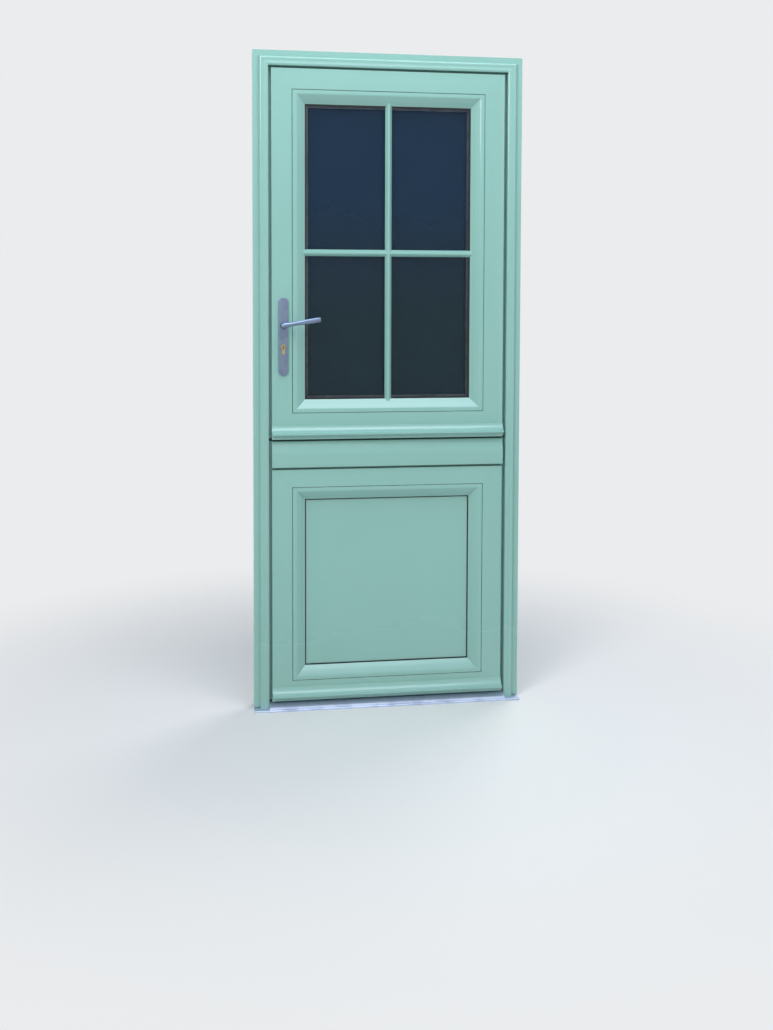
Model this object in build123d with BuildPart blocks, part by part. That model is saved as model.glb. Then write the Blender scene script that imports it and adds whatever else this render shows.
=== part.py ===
from build123d import *
import os
from math import cos, radians, sin, sqrt

os.makedirs("parts", exist_ok=True)

# A stable door: two leaves, one above the other, hung inwards in a moulded metal frame.
# X runs along the wall towards the hinges, Y into the building and Z up, in millimetres.
# The origin is the middle of the threshold's underside, in the middle of the frame's depth.

# Frame
SIGHT_WIDTH = 800.0  # between the stop edges of the two jambs
SIGHT_TOP = 2125.0  # underside of the head's stop
FRAME_FACE = 50.0  # face width of the jambs and the head
FRAME_BAND = 30.0  # raised, moulded part of that face
FRAME_DEPTH = 70.0
FRAME_FRONT = -35.0  # Y of the frame's outer face
FIN_SETBACK = 12.0  # fin that runs behind the wall's edge
STOP_WIDTH = 15.0
STOP_DEPTH = 25.0
FRAME_WALL = 2.2
STOP_SEAL = 4.5  # width of the seal in the stop
STOP_SEAL_INSET = 1.0
FIRST_RIDGE = 8.0  # ridges and hollow of the moulded band
RIDGE_DROP = 3.0
HOLLOW_DIP = 1.3
SHOULDER_WIDTH = 7.0
SHOULDER_DROP = 8.0

# Threshold
SILL_TOP = 20.0
SILL_LIP = 7.0  # front lip, which the jambs stand on
SILL_PROUD = 25.0  # nose in front of the frame's face
SILL_TAIL = 5.0  # behind the frame's inner face
SILL_LIP_DEPTH = 8.0
SILL_RISE = 5.5  # steep step behind the lip
SILL_STEP = 2.0  # depth of that step
SILL_CHAMFER = 1.5
SLOPE_LEAD = 4.0  # end of the slope in front of the leaves' faces
SILL_WALL = 2.6
SILL_CLEARANCE = 0.5

# Leaves
LEAF_FRONT = -27.0  # Y of the leaves' outer faces
LEAF_DEPTH = 70.0
SIDE_GAP = 10.0
TOP_GAP = 7.0
FACE = 68.0  # leaf edge to the V groove
STEP = 16.0  # middle of the section beyond its front part
FLANGE = 17.0  # inner flange beyond the middle
FLANGE_THICKNESS = 6.5
FRONT_PART = 21.0
LEAF_WALL = 2.2
ARRIS = 2.0
LOWER_FRONT_TOP = 803.0  # top edge of the lower leaf's face
LOWER_TOP_FACE = 60.0  # from there down to the V groove
LOWER_GAP = 6.0  # leaf above the threshold

# Moulding round the glass and the panel, from the V groove inwards
MOULDING = 43.0
BAND = 13.0
SHOULDER = 12.0  # radius between band and slope
GROOVE = 1.5
SLOPE_STEP = 0.8
SLOPE_STEP_AT = 0.66
LIP = 2.5
REBATE = 24.0

# Glass, panel and what holds them
GLASS_FRONT = 2.0
UNIT = 28.0
PANE = 4.0
UNIT_EDGE = 29.0  # V groove to the edge of glass or panel
GASKET = 3.0
GASKET_WIDTH = 6.0  # hidden behind the moulding's tip
GLASS_SEAL_LIP = 5.0  # seen beside the tip
PANEL_SEAL_LIP = 3.5
BEAD_SEAL_LIP = 1.2
BEAD_WIDTH = 17.0
BEAD_CHAMFER = 5.0
BEAD_WALL = 1.6
SEALANT_WIDTH = 17.0
SPACER_WIDTH = 8.0
BAR_WIDTH = 22.0
BAR_FLAT = 6.0
BAR_HEIGHT = 12.0
BAR_EDGE = 3.0

# Meeting rail on top of the lower leaf
MEETING_GAP = 8.0  # above the lower leaf's face
MEETING_HEIGHT = 86.0
MEETING_NOSE_RISE = 39.0  # foremost line above the underside
MEETING_SLOPE = 28.0  # height of the slope on top
MEETING_TOP_SETBACK = 7.0  # slope's end behind the leaves' faces
MEETING_SHOULDER = 2.5  # slope's foot behind the foremost line
LEAVES_GAP = 26.0  # meeting rail to the upper leaf's face
MEETING_PROUD = 12.0
MEETING_LOWER_PROUD = 8.0
MEETING_SETBACK = 8.0  # behind it hangs the upper leaf's inner flange
MEETING_WALL = 2.5
END_CAP = 2.0
LEAF_SEAL = 5.0  # thickness of the seal between the leaves
LEAF_SEAL_SETBACK = 4.0
BRUSH = 6.0
SEAL_END_GAP = 2.0

# Drip rails
DRIP_PROUD = 27.0
DRIP_HEIGHT = 45.0
DRIP_NOSE_TOP = 20.5
DRIP_NOSE_BOTTOM = 15.5
DRIP_HOLLOW_OUT = 11.3  # middle of the hollow above the nose
DRIP_HOLLOW_RISE = 29.0
DRIP_LIP = 8.0
DRIP_LIP_HEIGHT = 11.0
DRIP_TOP_EDGE = 2.0
DRIP_ARRIS = 1.0
DRIP_COVE = 3.0
UPPER_DRIP_GAP = 7.0  # above the meeting rail
LOWER_DRIP_GAP = 2.0  # above the leaf's foot

# Hinges
PIN_INSET = 14.0  # pin inside the frame's outer side
PIN_STAND = 15.0  # pin behind the frame's inner face
PIN_R = 4.0
PIN_HEAD_R = 7.0
PIN_HEAD = 3.0
PIN_TAIL = 1.0
PIN_PLAY = 0.2
KNUCKLE_R = 8.0
HINGE_HEIGHT = 100.0
LEAF_KNUCKLE = 48.0
KNUCKLE_GAP = 1.0
HINGE_PLATE = 4.0
HINGE_PLATE_HEIGHT = 150.0
FRAME_PLATE_INSET = 3.0  # from the frame's outer side
FRAME_PLATE_GAP = 2.0  # from the leaf's flange
LEAF_PLATE_INSET = 3.0  # from the flange's edge
LEAF_PLATE_WIDTH = 30.0
HINGE_WEB = 10.0
HINGE_INSET = 165.0  # from each end of a leaf's face
RUNNING = 0.06

# Handle, lock and keep
HANDLE_INSET = 38.0  # from the edge of the leaf's face
HANDLE_RISE = 359.0  # from the foot of the upper leaf's face
CENTRES = 72.0  # lever axis to key cylinder
PLATE_WIDTH = 32.0
PLATE_BELOW = 166.0  # below the lever's axis
PLATE_ABOVE = 90.0
PLATE_THICKNESS = 8.0
PLATE_CORNER = 10.0
PLATE_EDGE = 1.2
LEVER_REACH = 121.0
LEVER_RISE = 9.0  # degrees above level
LEVER_STAND = 50.0  # leaf face to the lever's middle line
LEVER_HEAD = ((-10.5, 0.0), (-10.5, 4.4), (-7.6, 8.2), (-2.1, 10.5), (10.5, 9.8))  # along and out
LEVER_ROOT_R = 7.4
LEVER_ROOT = 30.0
LEVER_TIP_R = 5.2
LEVER_TIP_EDGE = 1.2
NECK_R = 11.5
NECK_TOP_R = 9.0
NECK_CLEARANCE = 0.8
NECK_SHOULDER = 0.8
NECK_ENTRY = 1.0
COLLAR_HEIGHT = 20.0
SPINDLE = 8.0
SPINDLE_SOCKET = 28.0
CASE_THICKNESS = 16.0
CASE_DEPTH = 78.0
CASE_WALL = 1.5
CASE_BELOW = 60.0  # below the key cylinder's axis
CASE_ABOVE = 63.0  # above the lever's axis
FACEPLATE = 3.0
FACEPLATE_WIDTH = 20.0
FACEPLATE_MARGIN = 18.0
FOLLOWER_R = 10.0
FOLLOWER_HOLE = 7.0
FOLLOWER_ARM = 18.0
FOLLOWER_ARM_WIDTH = 6.0
LATCH_RISE = 24.0  # above the lever's axis
LATCH_HEIGHT = 18.0
LATCH_THROW = 12.0
LATCH_LENGTH = 36.0
LATCH_BEVEL = 11.0
LATCH_NOSE = 3.0
LATCH_TAIL = 14.0
LATCH_TAIL_WIDTH = 4.0
LATCH_TAIL_HEIGHT = 6.0
DEAD_RISE = 33.0  # above the key cylinder's axis
DEAD_HEIGHT = 28.0
DEAD_LENGTH = 38.0
DEAD_SETBACK = 0.5
DEAD_CHAMFER = 1.0
BOLT_THICKNESS = 12.0
KEEP_THICKNESS = 2.5
KEEP_WIDTH = 28.0
KEEP_MARGIN = 22.0
BARREL_R = 8.5
LOBE_R = 5.0
LOBE_DROP = 19.5
PLUG_R = 6.3
CAM_R = 14.0
CAM_WIDTH = 9.0
CAM_ARM = 9.0
CAM_CLEARANCE = 1.0
PLUG_PROUD = 0.5
CYLINDER_PROUD = 3.0
KEYWAY_WIDTH = 2.4
KEYWAY_HEIGHT = 8.0
KEYWAY_DEPTH = 22.0
KEYWAY_RIM = 1.5

# Barrel bolts on the inside of the lower leaf
BOLT_PLATE = 3.0
BOLT_PLATE_WIDTH = 36.0
BOLT_PLATE_LENGTH = 78.0
BOLT_ROD_R = 5.0
BOLT_AXIS = 11.0  # rod above the leaf's face
GUIDE_LENGTH = 12.0
GUIDE_WIDTH = 18.0
GUIDE_MARGIN = 3.0
BOLT_KEEP_WIDTH = 22.0
KNOB_R = 4.0
KNOB_HEIGHT = 12.0
ROD_TAIL = 8.0  # rod behind the far guide
ROD_CHAMFER = 1.0
ROD_CLEARANCE = 2.5  # round the rod in its keep
SIDE_BOLT_DROP = 243.0  # below the top of the lower leaf's face
SIDE_PLATE_INSET = 9.0  # from the flange's edge
SIDE_TIP_INSET = 4.0
SIDE_KEEP_GAP = 4.0
SIDE_KEEP_INSET = 1.0
COUPLING_INSET = 28.0  # from the edge of the leaf's face
COUPLING_PLATE_DROP = 22.0  # below the lower leaf's flange
COUPLING_TIP_GAP = 6.0  # below the upper leaf's flange
COUPLING_KEEP_RISE = 8.0
COUPLING_KEEP_HEIGHT = 22.0

# Fixings and clearances
FIXING_R = 5.0
FIXING_LOW = 330.0
FIXING_DROP = 295.0  # below the head's stop
FIXING_SETBACK = 15.0  # from the frame's inner face
CLEAT_LEG = 75.0
CLEAT_WIDTH = 14.0
CLEAT_THICKNESS = 25.0
CLEAT_PLAY = 3.0
SHAFT_CLEARANCE = 0.1
SLIDE_CLEARANCE = 0.3
SLOT_CLEARANCE = 1.5
MITRE_GAP = 0.1
SEAL_CLEARANCE = 0.25

# Places that follow from the sizes above
REACH = SIGHT_TOP + SIGHT_WIDTH  # longer than any member
CUT = 1.0  # how far a cutter goes past what it cuts
FRAME_BACK = FRAME_FRONT + FRAME_DEPTH
STOP_BACK = FRAME_FRONT + STOP_DEPTH
SIGHT_X = SIGHT_WIDTH / 2
REBATE_X = SIGHT_X + STOP_WIDTH
FRAME_X = SIGHT_X + FRAME_FACE
LEAF_X = SIGHT_X - SIDE_GAP
GROOVE_X = LEAF_X - FACE
MIDDLE_X = LEAF_X + STEP
LEAF_BACK = LEAF_FRONT + LEAF_DEPTH
STEP_Y = LEAF_FRONT + FRONT_PART
FLANGE_Y = LEAF_BACK - FLANGE_THICKNESS
RIM_X = MIDDLE_X + FLANGE
UPPER_FRONT_TOP = SIGHT_TOP - TOP_GAP
UPPER_GROOVE_TOP = UPPER_FRONT_TOP - FACE
MEETING_BOTTOM = LOWER_FRONT_TOP + MEETING_GAP
MEETING_NOSE = MEETING_BOTTOM + MEETING_NOSE_RISE
MEETING_TOP = MEETING_BOTTOM + MEETING_HEIGHT
UPPER_FRONT_BOTTOM = MEETING_TOP + LEAVES_GAP
UPPER_GROOVE_BOTTOM = UPPER_FRONT_BOTTOM + FACE
UPPER_MIDDLE_BOTTOM = UPPER_FRONT_BOTTOM - STEP
UPPER_RIM_BOTTOM = UPPER_MIDDLE_BOTTOM - FLANGE
LOWER_GROOVE_TOP = LOWER_FRONT_TOP - LOWER_TOP_FACE
LOWER_RIM_TOP = LOWER_GROOVE_TOP + FACE + STEP + FLANGE
CROSS_Z = (UPPER_GROOVE_TOP + UPPER_GROOVE_BOTTOM) / 2
SILL_NOSE = FRAME_FRONT - SILL_PROUD
SILL_BACK = FRAME_BACK + SILL_TAIL
SILL_SLOPE_BACK = LEAF_FRONT - SLOPE_LEAD
LOWER_BOTTOM = SILL_TOP + LOWER_GAP
GLASS_BACK = GLASS_FRONT + UNIT
REBATE_Y = GLASS_FRONT - GASKET
TIP_Y = REBATE_Y - LIP
SLOPE_FALL = (TIP_Y - SLOPE_STEP - LEAF_FRONT) / (MOULDING - BAND)
BEAD_Y = GLASS_BACK + GASKET
BEAD_EDGE = REBATE + BEAD_WIDTH
HANDLE_X = HANDLE_INSET - LEAF_X
HANDLE_Z = UPPER_FRONT_BOTTOM + HANDLE_RISE
CYLINDER_Z = HANDLE_Z - CENTRES
PLATE_BOTTOM = HANDLE_Z - PLATE_BELOW
PLATE_TOP = HANDLE_Z + PLATE_ABOVE
CASE_BOTTOM = CYLINDER_Z - CASE_BELOW
CASE_TOP = HANDLE_Z + CASE_ABOVE
LATCH_Z = HANDLE_Z + LATCH_RISE
DEAD_Z = CYLINDER_Z + DEAD_RISE
LEAF_MIDDLE = (LEAF_FRONT + LEAF_BACK) / 2
CASE_FRONT = LEAF_MIDDLE - CASE_THICKNESS / 2
CASE_BACK = LEAF_MIDDLE + CASE_THICKNESS / 2
BOLT_FRONT = LEAF_MIDDLE - BOLT_THICKNESS / 2
BOLT_BACK = LEAF_MIDDLE + BOLT_THICKNESS / 2
FACEPLATE_X = -MIDDLE_X - FACEPLATE
KEEP_X = -REBATE_X + KEEP_THICKNESS
KEEP_BOTTOM = DEAD_Z - DEAD_HEIGHT / 2 - KEEP_MARGIN
KEEP_TOP = LATCH_Z + LATCH_HEIGHT / 2 + KEEP_MARGIN
NECK_HOLE = NECK_R + NECK_CLEARANCE
BOLT_Y = LEAF_BACK + BOLT_AXIS
LATCH_TIP = FACEPLATE_X - LATCH_THROW
PIN_X = FRAME_X - PIN_INSET
PIN_Y = FRAME_BACK + PIN_STAND
HINGE_LEVELS = (
    LOWER_BOTTOM + HINGE_INSET,
    LOWER_FRONT_TOP - HINGE_INSET,
    UPPER_FRONT_BOTTOM + HINGE_INSET,
    UPPER_FRONT_TOP - HINGE_INSET,
)
FIXING_LEVELS = (FIXING_LOW, SIGHT_TOP - FIXING_DROP)
FIXING_Y = FRAME_BACK - FIXING_SETBACK
SIDE_BOLT_Z = LOWER_FRONT_TOP - SIDE_BOLT_DROP
SIDE_BOLT_START = SIDE_PLATE_INSET - RIM_X
SIDE_BOLT_TIP = SIDE_TIP_INSET - RIM_X
COUPLING_X = COUPLING_INSET - LEAF_X
COUPLING_START = LOWER_RIM_TOP - COUPLING_PLATE_DROP
COUPLING_TIP = UPPER_RIM_BOTTOM - COUPLING_TIP_GAP
COUPLING_KEEP_BOTTOM = UPPER_RIM_BOTTOM + COUPLING_KEEP_RISE

OUT = {
    "hinge": Vector(1, 0, 0),
    "lock": Vector(-1, 0, 0),
    "top": Vector(0, 0, 1),
    "bottom": Vector(0, 0, -1),
}
FRAME = {"hinge": SIGHT_X, "lock": -SIGHT_X, "top": SIGHT_TOP, "bottom": 0.0}
UPPER = {"hinge": GROOVE_X, "lock": -GROOVE_X, "top": UPPER_GROOVE_TOP, "bottom": UPPER_GROOVE_BOTTOM}
LOWER = {"hinge": GROOVE_X, "lock": -GROOVE_X, "top": LOWER_GROOVE_TOP, "bottom": LOWER_BOTTOM + FACE}


def save(piece, label):
    piece.part.label = label
    export_step(piece.part, "parts/" + label + ".step")


def member_plane(rectangle, side):
    """Section plane of the member on one side: x points outwards, y into the building."""
    if side in ("hinge", "lock"):
        origin = Vector(rectangle[side], 0, 0)
    else:
        origin = Vector(0, 0, rectangle[side])
    return Plane(origin=origin, x_dir=OUT[side], z_dir=OUT[side].cross(Vector(0, 1, 0)))


def mitre(rectangle, side, neighbours=None, gap=0.0):
    """Cut the member in hand at 45 degrees against the members beside it."""
    upright = side in ("hinge", "lock")
    for other in neighbours or (("top", "bottom") if upright else ("hinge", "lock")):
        column, row = (side, other) if upright else (other, side)
        normal = (OUT[side] - OUT[other]).normalized()
        corner = Vector(rectangle[column], 0, rectangle[row]) + normal * gap
        split(bisect_by=Plane(origin=corner, z_dir=normal), keep=Keep.TOP)


def facade(y):
    """Upright plane at depth y, with x along the wall and y up; it faces the building."""
    return Plane(origin=(0, y, 0), x_dir=(-1, 0, 0), z_dir=(0, 1, 0))


def outdoors(y):
    """Upright plane at depth y that faces outdoors, with x along the wall and y up."""
    return Plane(origin=(0, y, 0), x_dir=(1, 0, 0), z_dir=(0, -1, 0))


def box_between(low, high, mode=Mode.ADD):
    """A block from its lowest to its highest corner, added to or cut from the piece in hand."""
    size = [b - a for a, b in zip(low, high)]
    with Locations(tuple((a + b) / 2 for a, b in zip(low, high))):
        Box(*size, mode=mode)


def frame_section():
    """Jambs and head: x outwards from the stop edge. A moulded band, a fin and two chambers."""
    last_ridge = FRAME_BAND - SHOULDER_WIDTH
    fin_y = FRAME_FRONT + FIN_SETBACK
    front, wall = FRAME_FRONT, FRAME_WALL
    with BuildSketch() as section:
        with BuildLine():
            TangentArc((FIRST_RIDGE, front), (0, front + RIDGE_DROP), tangent=(-1, 0))
            ThreePointArc(
                (FIRST_RIDGE, front),
                ((FIRST_RIDGE + last_ridge) / 2, front + HOLLOW_DIP),
                (last_ridge, front),
            )
            TangentArc((last_ridge, front), (FRAME_BAND, front + SHOULDER_DROP), tangent=(1, 0))
            Polyline(
                (FRAME_BAND, front + SHOULDER_DROP),
                (FRAME_BAND, fin_y),
                (FRAME_FACE, fin_y),
                (FRAME_FACE, FRAME_BACK),
                (STOP_WIDTH, FRAME_BACK),
                (STOP_WIDTH, STOP_BACK),
                (0, STOP_BACK),
                (0, front + RIDGE_DROP),
            )
        make_face()
        with BuildLine():
            Polyline(
                (wall, front + RIDGE_DROP + wall),
                (last_ridge, front + RIDGE_DROP + wall),
                (FRAME_BAND - wall, front + SHOULDER_DROP + wall),
                (FRAME_BAND - wall, STOP_BACK - wall),
                (wall, STOP_BACK - wall),
                close=True,
            )
        make_face(mode=Mode.SUBTRACT)
        with BuildLine():
            Polyline(
                (FRAME_BAND + wall, fin_y + wall),
                (FRAME_FACE - wall, fin_y + wall),
                (FRAME_FACE - wall, FRAME_BACK - wall),
                (STOP_WIDTH + wall, FRAME_BACK - wall),
                (STOP_WIDTH + wall, STOP_BACK),
                (FRAME_BAND + wall, STOP_BACK),
                close=True,
            )
        make_face(mode=Mode.SUBTRACT)
    return section.sketch


def leaf_section(edge=FACE, middle=FACE + STEP, rim=FACE + STEP + FLANGE):
    """Stiles and rails: x outwards from the V groove, y into the building.

    The front part reaches out to edge, the body to middle and the inner flange to rim.
    Inwards the moulding runs from the groove over a rounded shoulder down to the glass.
    """
    wall = LEAF_WALL
    step_x = BAND + SLOPE_STEP_AT * (MOULDING - BAND)
    step_y = LEAF_FRONT + SLOPE_FALL * (step_x - BAND)
    outline = [
        (edge, LEAF_FRONT),
        (GROOVE, LEAF_FRONT),
        (0, LEAF_FRONT + GROOVE),
        (-GROOVE, LEAF_FRONT),
        (-BAND, LEAF_FRONT),
        (-step_x, step_y),
        (-step_x, step_y + SLOPE_STEP),
        (-MOULDING, TIP_Y),
        (-MOULDING, REBATE_Y),
        (-REBATE, REBATE_Y),
        (-REBATE, LEAF_BACK),
        (rim, LEAF_BACK),
    ]
    if rim > middle:
        outline += [(rim, FLANGE_Y), (middle, FLANGE_Y)]
    if middle > edge:
        outline += [(middle, STEP_Y), (edge, STEP_Y)]
    slant = wall * sqrt(1 + SLOPE_FALL**2)
    chamber_back = STEP_Y - wall
    chamber_tip = BAND + (chamber_back - slant - LEAF_FRONT) / SLOPE_FALL
    with BuildSketch() as section:
        with BuildLine():
            Polyline(*outline, close=True)
        make_face()
        shoulder = section.vertices().sort_by_distance((-BAND, LEAF_FRONT, 0))[0]
        fillet(shoulder, radius=SHOULDER)
        arrises = section.vertices().filter_by_position(Axis.X, edge - 0.1, edge + 0.1)
        fillet(arrises.sort_by(Axis.Y)[0], radius=ARRIS)
        with BuildLine():
            Polyline(
                (edge - wall, LEAF_FRONT + wall),
                (-BAND + wall, LEAF_FRONT + wall),
                (-chamber_tip, chamber_back),
                (edge - wall, chamber_back),
                close=True,
            )
        make_face(mode=Mode.SUBTRACT)
        with BuildLine():
            Polyline(
                (-REBATE + wall, STEP_Y + wall),
                (middle - wall, STEP_Y + wall),
                (middle - wall, LEAF_BACK - wall),
                (-REBATE + wall, LEAF_BACK - wall),
                close=True,
            )
        make_face(mode=Mode.SUBTRACT)
    return section.sketch


def bead_section():
    """Hollow glazing bead that snaps into the rebate behind the glass."""
    with BuildSketch() as section:
        with BuildLine():
            Polyline(
                (-REBATE, BEAD_Y),
                (-REBATE, LEAF_BACK),
                (-REBATE - BEAD_WIDTH + BEAD_CHAMFER, LEAF_BACK),
                (-REBATE - BEAD_WIDTH, LEAF_BACK - BEAD_CHAMFER),
                (-REBATE - BEAD_WIDTH, BEAD_Y),
                close=True,
            )
        make_face()
        offset(amount=-BEAD_WALL, kind=Kind.INTERSECTION, mode=Mode.SUBTRACT)
    return section.sketch


def ring(rectangle, outer, inner):
    """Rectangular ring between two distances from the V groove, drawn on an upright plane."""
    width = rectangle["hinge"] - rectangle["lock"]
    height = rectangle["top"] - rectangle["bottom"]
    with BuildSketch() as outline:
        with Locations((0, (rectangle["top"] + rectangle["bottom"]) / 2)):
            Rectangle(width - 2 * outer, height - 2 * outer)
            if inner is not None:
                Rectangle(width - 2 * inner, height - 2 * inner, mode=Mode.SUBTRACT)
    return outline.sketch


# Frame: two jambs and a head, mitred at the top, standing on the threshold's lip
with BuildPart() as jamb:
    with BuildSketch(member_plane(FRAME, "hinge")):
        add(frame_section())
    extrude(amount=SIGHT_TOP + REACH, both=True)
    mitre(FRAME, "hinge", ("top",))
    split(bisect_by=Plane.XY.offset(SILL_LIP), keep=Keep.TOP)
    with BuildSketch(Plane.YZ):
        with Locations(*[(FIXING_Y, level) for level in FIXING_LEVELS]):
            Circle(FIXING_R)
    extrude(amount=FRAME_X + FRAME_FACE, mode=Mode.SUBTRACT)

with BuildPart() as hinge_jamb:
    add(jamb.part)
save(hinge_jamb, "hinge_jamb")

with BuildPart() as lock_jamb:
    mirror(jamb.part, about=Plane.YZ, mode=Mode.ADD)
    box_between(
        (-REBATE_X - FRAME_WALL - CUT, BOLT_FRONT - SLOT_CLEARANCE, KEEP_BOTTOM + KEEP_MARGIN - SLOT_CLEARANCE),
        (-REBATE_X + CUT, BOLT_BACK + SLOT_CLEARANCE, KEEP_TOP - KEEP_MARGIN + SLOT_CLEARANCE),
        Mode.SUBTRACT,
    )
save(lock_jamb, "lock_jamb")

with BuildPart() as frame_head:
    with BuildSketch(member_plane(FRAME, "top")):
        add(frame_section())
    extrude(amount=REACH, both=True)
    mitre(FRAME, "top")
save(frame_head, "frame_head")

# Seal in the stop, which the leaves close against
SEAL_X = SIGHT_X + STOP_SEAL_INSET
SEAL_Z = SIGHT_TOP + STOP_SEAL_INSET
with BuildPart() as frame_gasket:
    with BuildSketch(outdoors(STOP_BACK)):
        with BuildLine():
            Polyline(
                (-SEAL_X, SILL_TOP),
                (-SEAL_X, SEAL_Z),
                (SEAL_X, SEAL_Z),
                (SEAL_X, SILL_TOP),
                (SEAL_X + STOP_SEAL, SILL_TOP),
                (SEAL_X + STOP_SEAL, SEAL_Z + STOP_SEAL),
                (-SEAL_X - STOP_SEAL, SEAL_Z + STOP_SEAL),
                (-SEAL_X - STOP_SEAL, SILL_TOP),
                close=True,
            )
        make_face()
    extrude(amount=STOP_BACK - STEP_Y + SEAL_CLEARANCE)
save(frame_gasket, "frame_gasket")

# Threshold: a stepped nose, a slope that sheds water and two chambers
with BuildPart() as threshold:
    with BuildSketch(Plane.YZ):
        with BuildLine():
            Polyline(
                (SILL_NOSE, 0),
                (SILL_NOSE, SILL_LIP - SILL_CHAMFER),
                (SILL_NOSE + SILL_CHAMFER, SILL_LIP),
                (SILL_NOSE + SILL_LIP_DEPTH, SILL_LIP),
                (SILL_NOSE + SILL_LIP_DEPTH + SILL_STEP, SILL_LIP + SILL_RISE),
                (SILL_SLOPE_BACK, SILL_TOP),
                (SILL_BACK, SILL_TOP),
                (SILL_BACK, 0),
                close=True,
            )
        make_face()
        middle = (SILL_SLOPE_BACK + SILL_BACK) / 2
        half_span = (SILL_BACK - SILL_SLOPE_BACK) / 2
        chamber = half_span - 1.5 * SILL_WALL
        with Locations((middle - half_span / 2, SILL_TOP / 2), (middle + half_span / 2, SILL_TOP / 2)):
            Rectangle(chamber, SILL_TOP - 2 * SILL_WALL, mode=Mode.SUBTRACT)
    extrude(amount=FRAME_X, both=True)
    for end in (-1, 1):
        with BuildSketch(Plane.YZ.offset(end * (SIGHT_X - SILL_CLEARANCE))):
            with Locations(((SILL_NOSE + SILL_BACK) / 2, SILL_LIP + SILL_TOP / 2)):
                Rectangle(SILL_BACK - SILL_NOSE + CUT, SILL_TOP)
        extrude(amount=end * FRAME_FACE * 2, mode=Mode.SUBTRACT)
save(threshold, "threshold")

# Upper leaf: four mitred members round the glass
with BuildPart() as upper_stile:
    with BuildSketch(member_plane(UPPER, "hinge")):
        add(leaf_section())
    extrude(amount=SIGHT_TOP + REACH, both=True)
    mitre(UPPER, "hinge")

with BuildPart() as upper_hinge_stile:
    add(upper_stile.part)
save(upper_hinge_stile, "upper_hinge_stile")

for name, side in (("upper_top_rail", "top"), ("upper_bottom_rail", "bottom")):
    with BuildPart() as rail:
        with BuildSketch(member_plane(UPPER, side)):
            add(leaf_section())
        extrude(amount=REACH, both=True)
        mitre(UPPER, side)
    save(rail, name)


def cylinder_outline(clearance=0.0):
    """Profile of the key cylinder: a round barrel over a narrow lobe."""
    with BuildSketch() as outline:
        Circle(BARREL_R + clearance)
        with Locations((0, -LOBE_DROP / 2)):
            Rectangle(2 * (LOBE_R + clearance), LOBE_DROP)
        with Locations((0, -LOBE_DROP)):
            Circle(LOBE_R + clearance)
    return outline.sketch


with BuildPart() as upper_lock_stile:
    mirror(upper_stile.part, about=Plane.YZ, mode=Mode.ADD)
    with BuildSketch(Plane.XZ):
        with Locations((HANDLE_X, HANDLE_Z)):
            Circle(NECK_HOLE)
        with Locations((HANDLE_X, CYLINDER_Z)):
            add(cylinder_outline())
    extrude(amount=REACH, both=True, mode=Mode.SUBTRACT)
    box_between(
        (-MIDDLE_X - CUT, CASE_FRONT - SLIDE_CLEARANCE, CASE_BOTTOM - SLIDE_CLEARANCE),
        (-MIDDLE_X + LEAF_WALL + CUT, CASE_BACK + SLIDE_CLEARANCE, CASE_TOP + SLIDE_CLEARANCE),
        Mode.SUBTRACT,
    )
save(upper_lock_stile, "upper_lock_stile")

# Lower leaf: its top rail is cut back in front for the meeting rail, its foot is square
with BuildPart() as lower_stile:
    with BuildSketch(member_plane(LOWER, "hinge")):
        add(leaf_section())
    extrude(amount=SIGHT_TOP, both=True)
    mitre(LOWER, "hinge")
    split(bisect_by=Plane.XY.offset(LOWER_BOTTOM), keep=Keep.TOP)
    box_between(
        (0, LEAF_FRONT - CUT, LOWER_FRONT_TOP),
        (SIGHT_X, STEP_Y, LOWER_FRONT_TOP + FACE),
        Mode.SUBTRACT,
    )

with BuildPart() as lower_hinge_stile:
    add(lower_stile.part)
save(lower_hinge_stile, "lower_hinge_stile")

with BuildPart() as lower_lock_stile:
    mirror(lower_stile.part, about=Plane.YZ, mode=Mode.ADD)
save(lower_lock_stile, "lower_lock_stile")

with BuildPart() as lower_top_rail:
    with BuildSketch(member_plane(LOWER, "top")):
        add(leaf_section(edge=LOWER_FRONT_TOP - LOWER_GROOVE_TOP))
    extrude(amount=REACH, both=True)
    mitre(LOWER, "top")
save(lower_top_rail, "lower_top_rail")

with BuildPart() as lower_bottom_rail:
    with BuildSketch(member_plane(LOWER, "bottom")):
        add(leaf_section(middle=FACE, rim=FACE))
    extrude(amount=REACH, both=True)
    mitre(LOWER, "bottom")
save(lower_bottom_rail, "lower_bottom_rail")

# Double glazing in the upper leaf, infill panel in the lower leaf
with BuildPart() as glass_panes:
    for y in (GLASS_FRONT, GLASS_BACK - PANE):
        with BuildSketch(facade(y)):
            add(ring(UPPER, UNIT_EDGE, None))
        extrude(amount=PANE)
save(glass_panes, "glass_panes")

for name, outer, width in (
    ("edge_sealant", UNIT_EDGE, SEALANT_WIDTH),
    ("glazing_spacer", UNIT_EDGE + SEALANT_WIDTH, SPACER_WIDTH),
):
    with BuildPart() as pane_edge:
        with BuildSketch(facade(GLASS_FRONT + PANE)):
            add(ring(UPPER, outer, outer + width))
        extrude(amount=UNIT - 2 * PANE)
    save(pane_edge, name)

with BuildPart() as lower_panel:
    with BuildSketch(facade(GLASS_FRONT)):
        add(ring(LOWER, UNIT_EDGE, None))
    extrude(amount=UNIT)
save(lower_panel, "lower_panel")


def bead(rectangle, side):
    """One glazing bead, mitred against its neighbours."""
    with BuildPart(mode=Mode.PRIVATE) as strip:
        with BuildSketch(member_plane(rectangle, side)):
            add(bead_section())
        extrude(amount=SIGHT_TOP + REACH, both=True)
        mitre(rectangle, side, gap=MITRE_GAP)
    return strip.part


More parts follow.
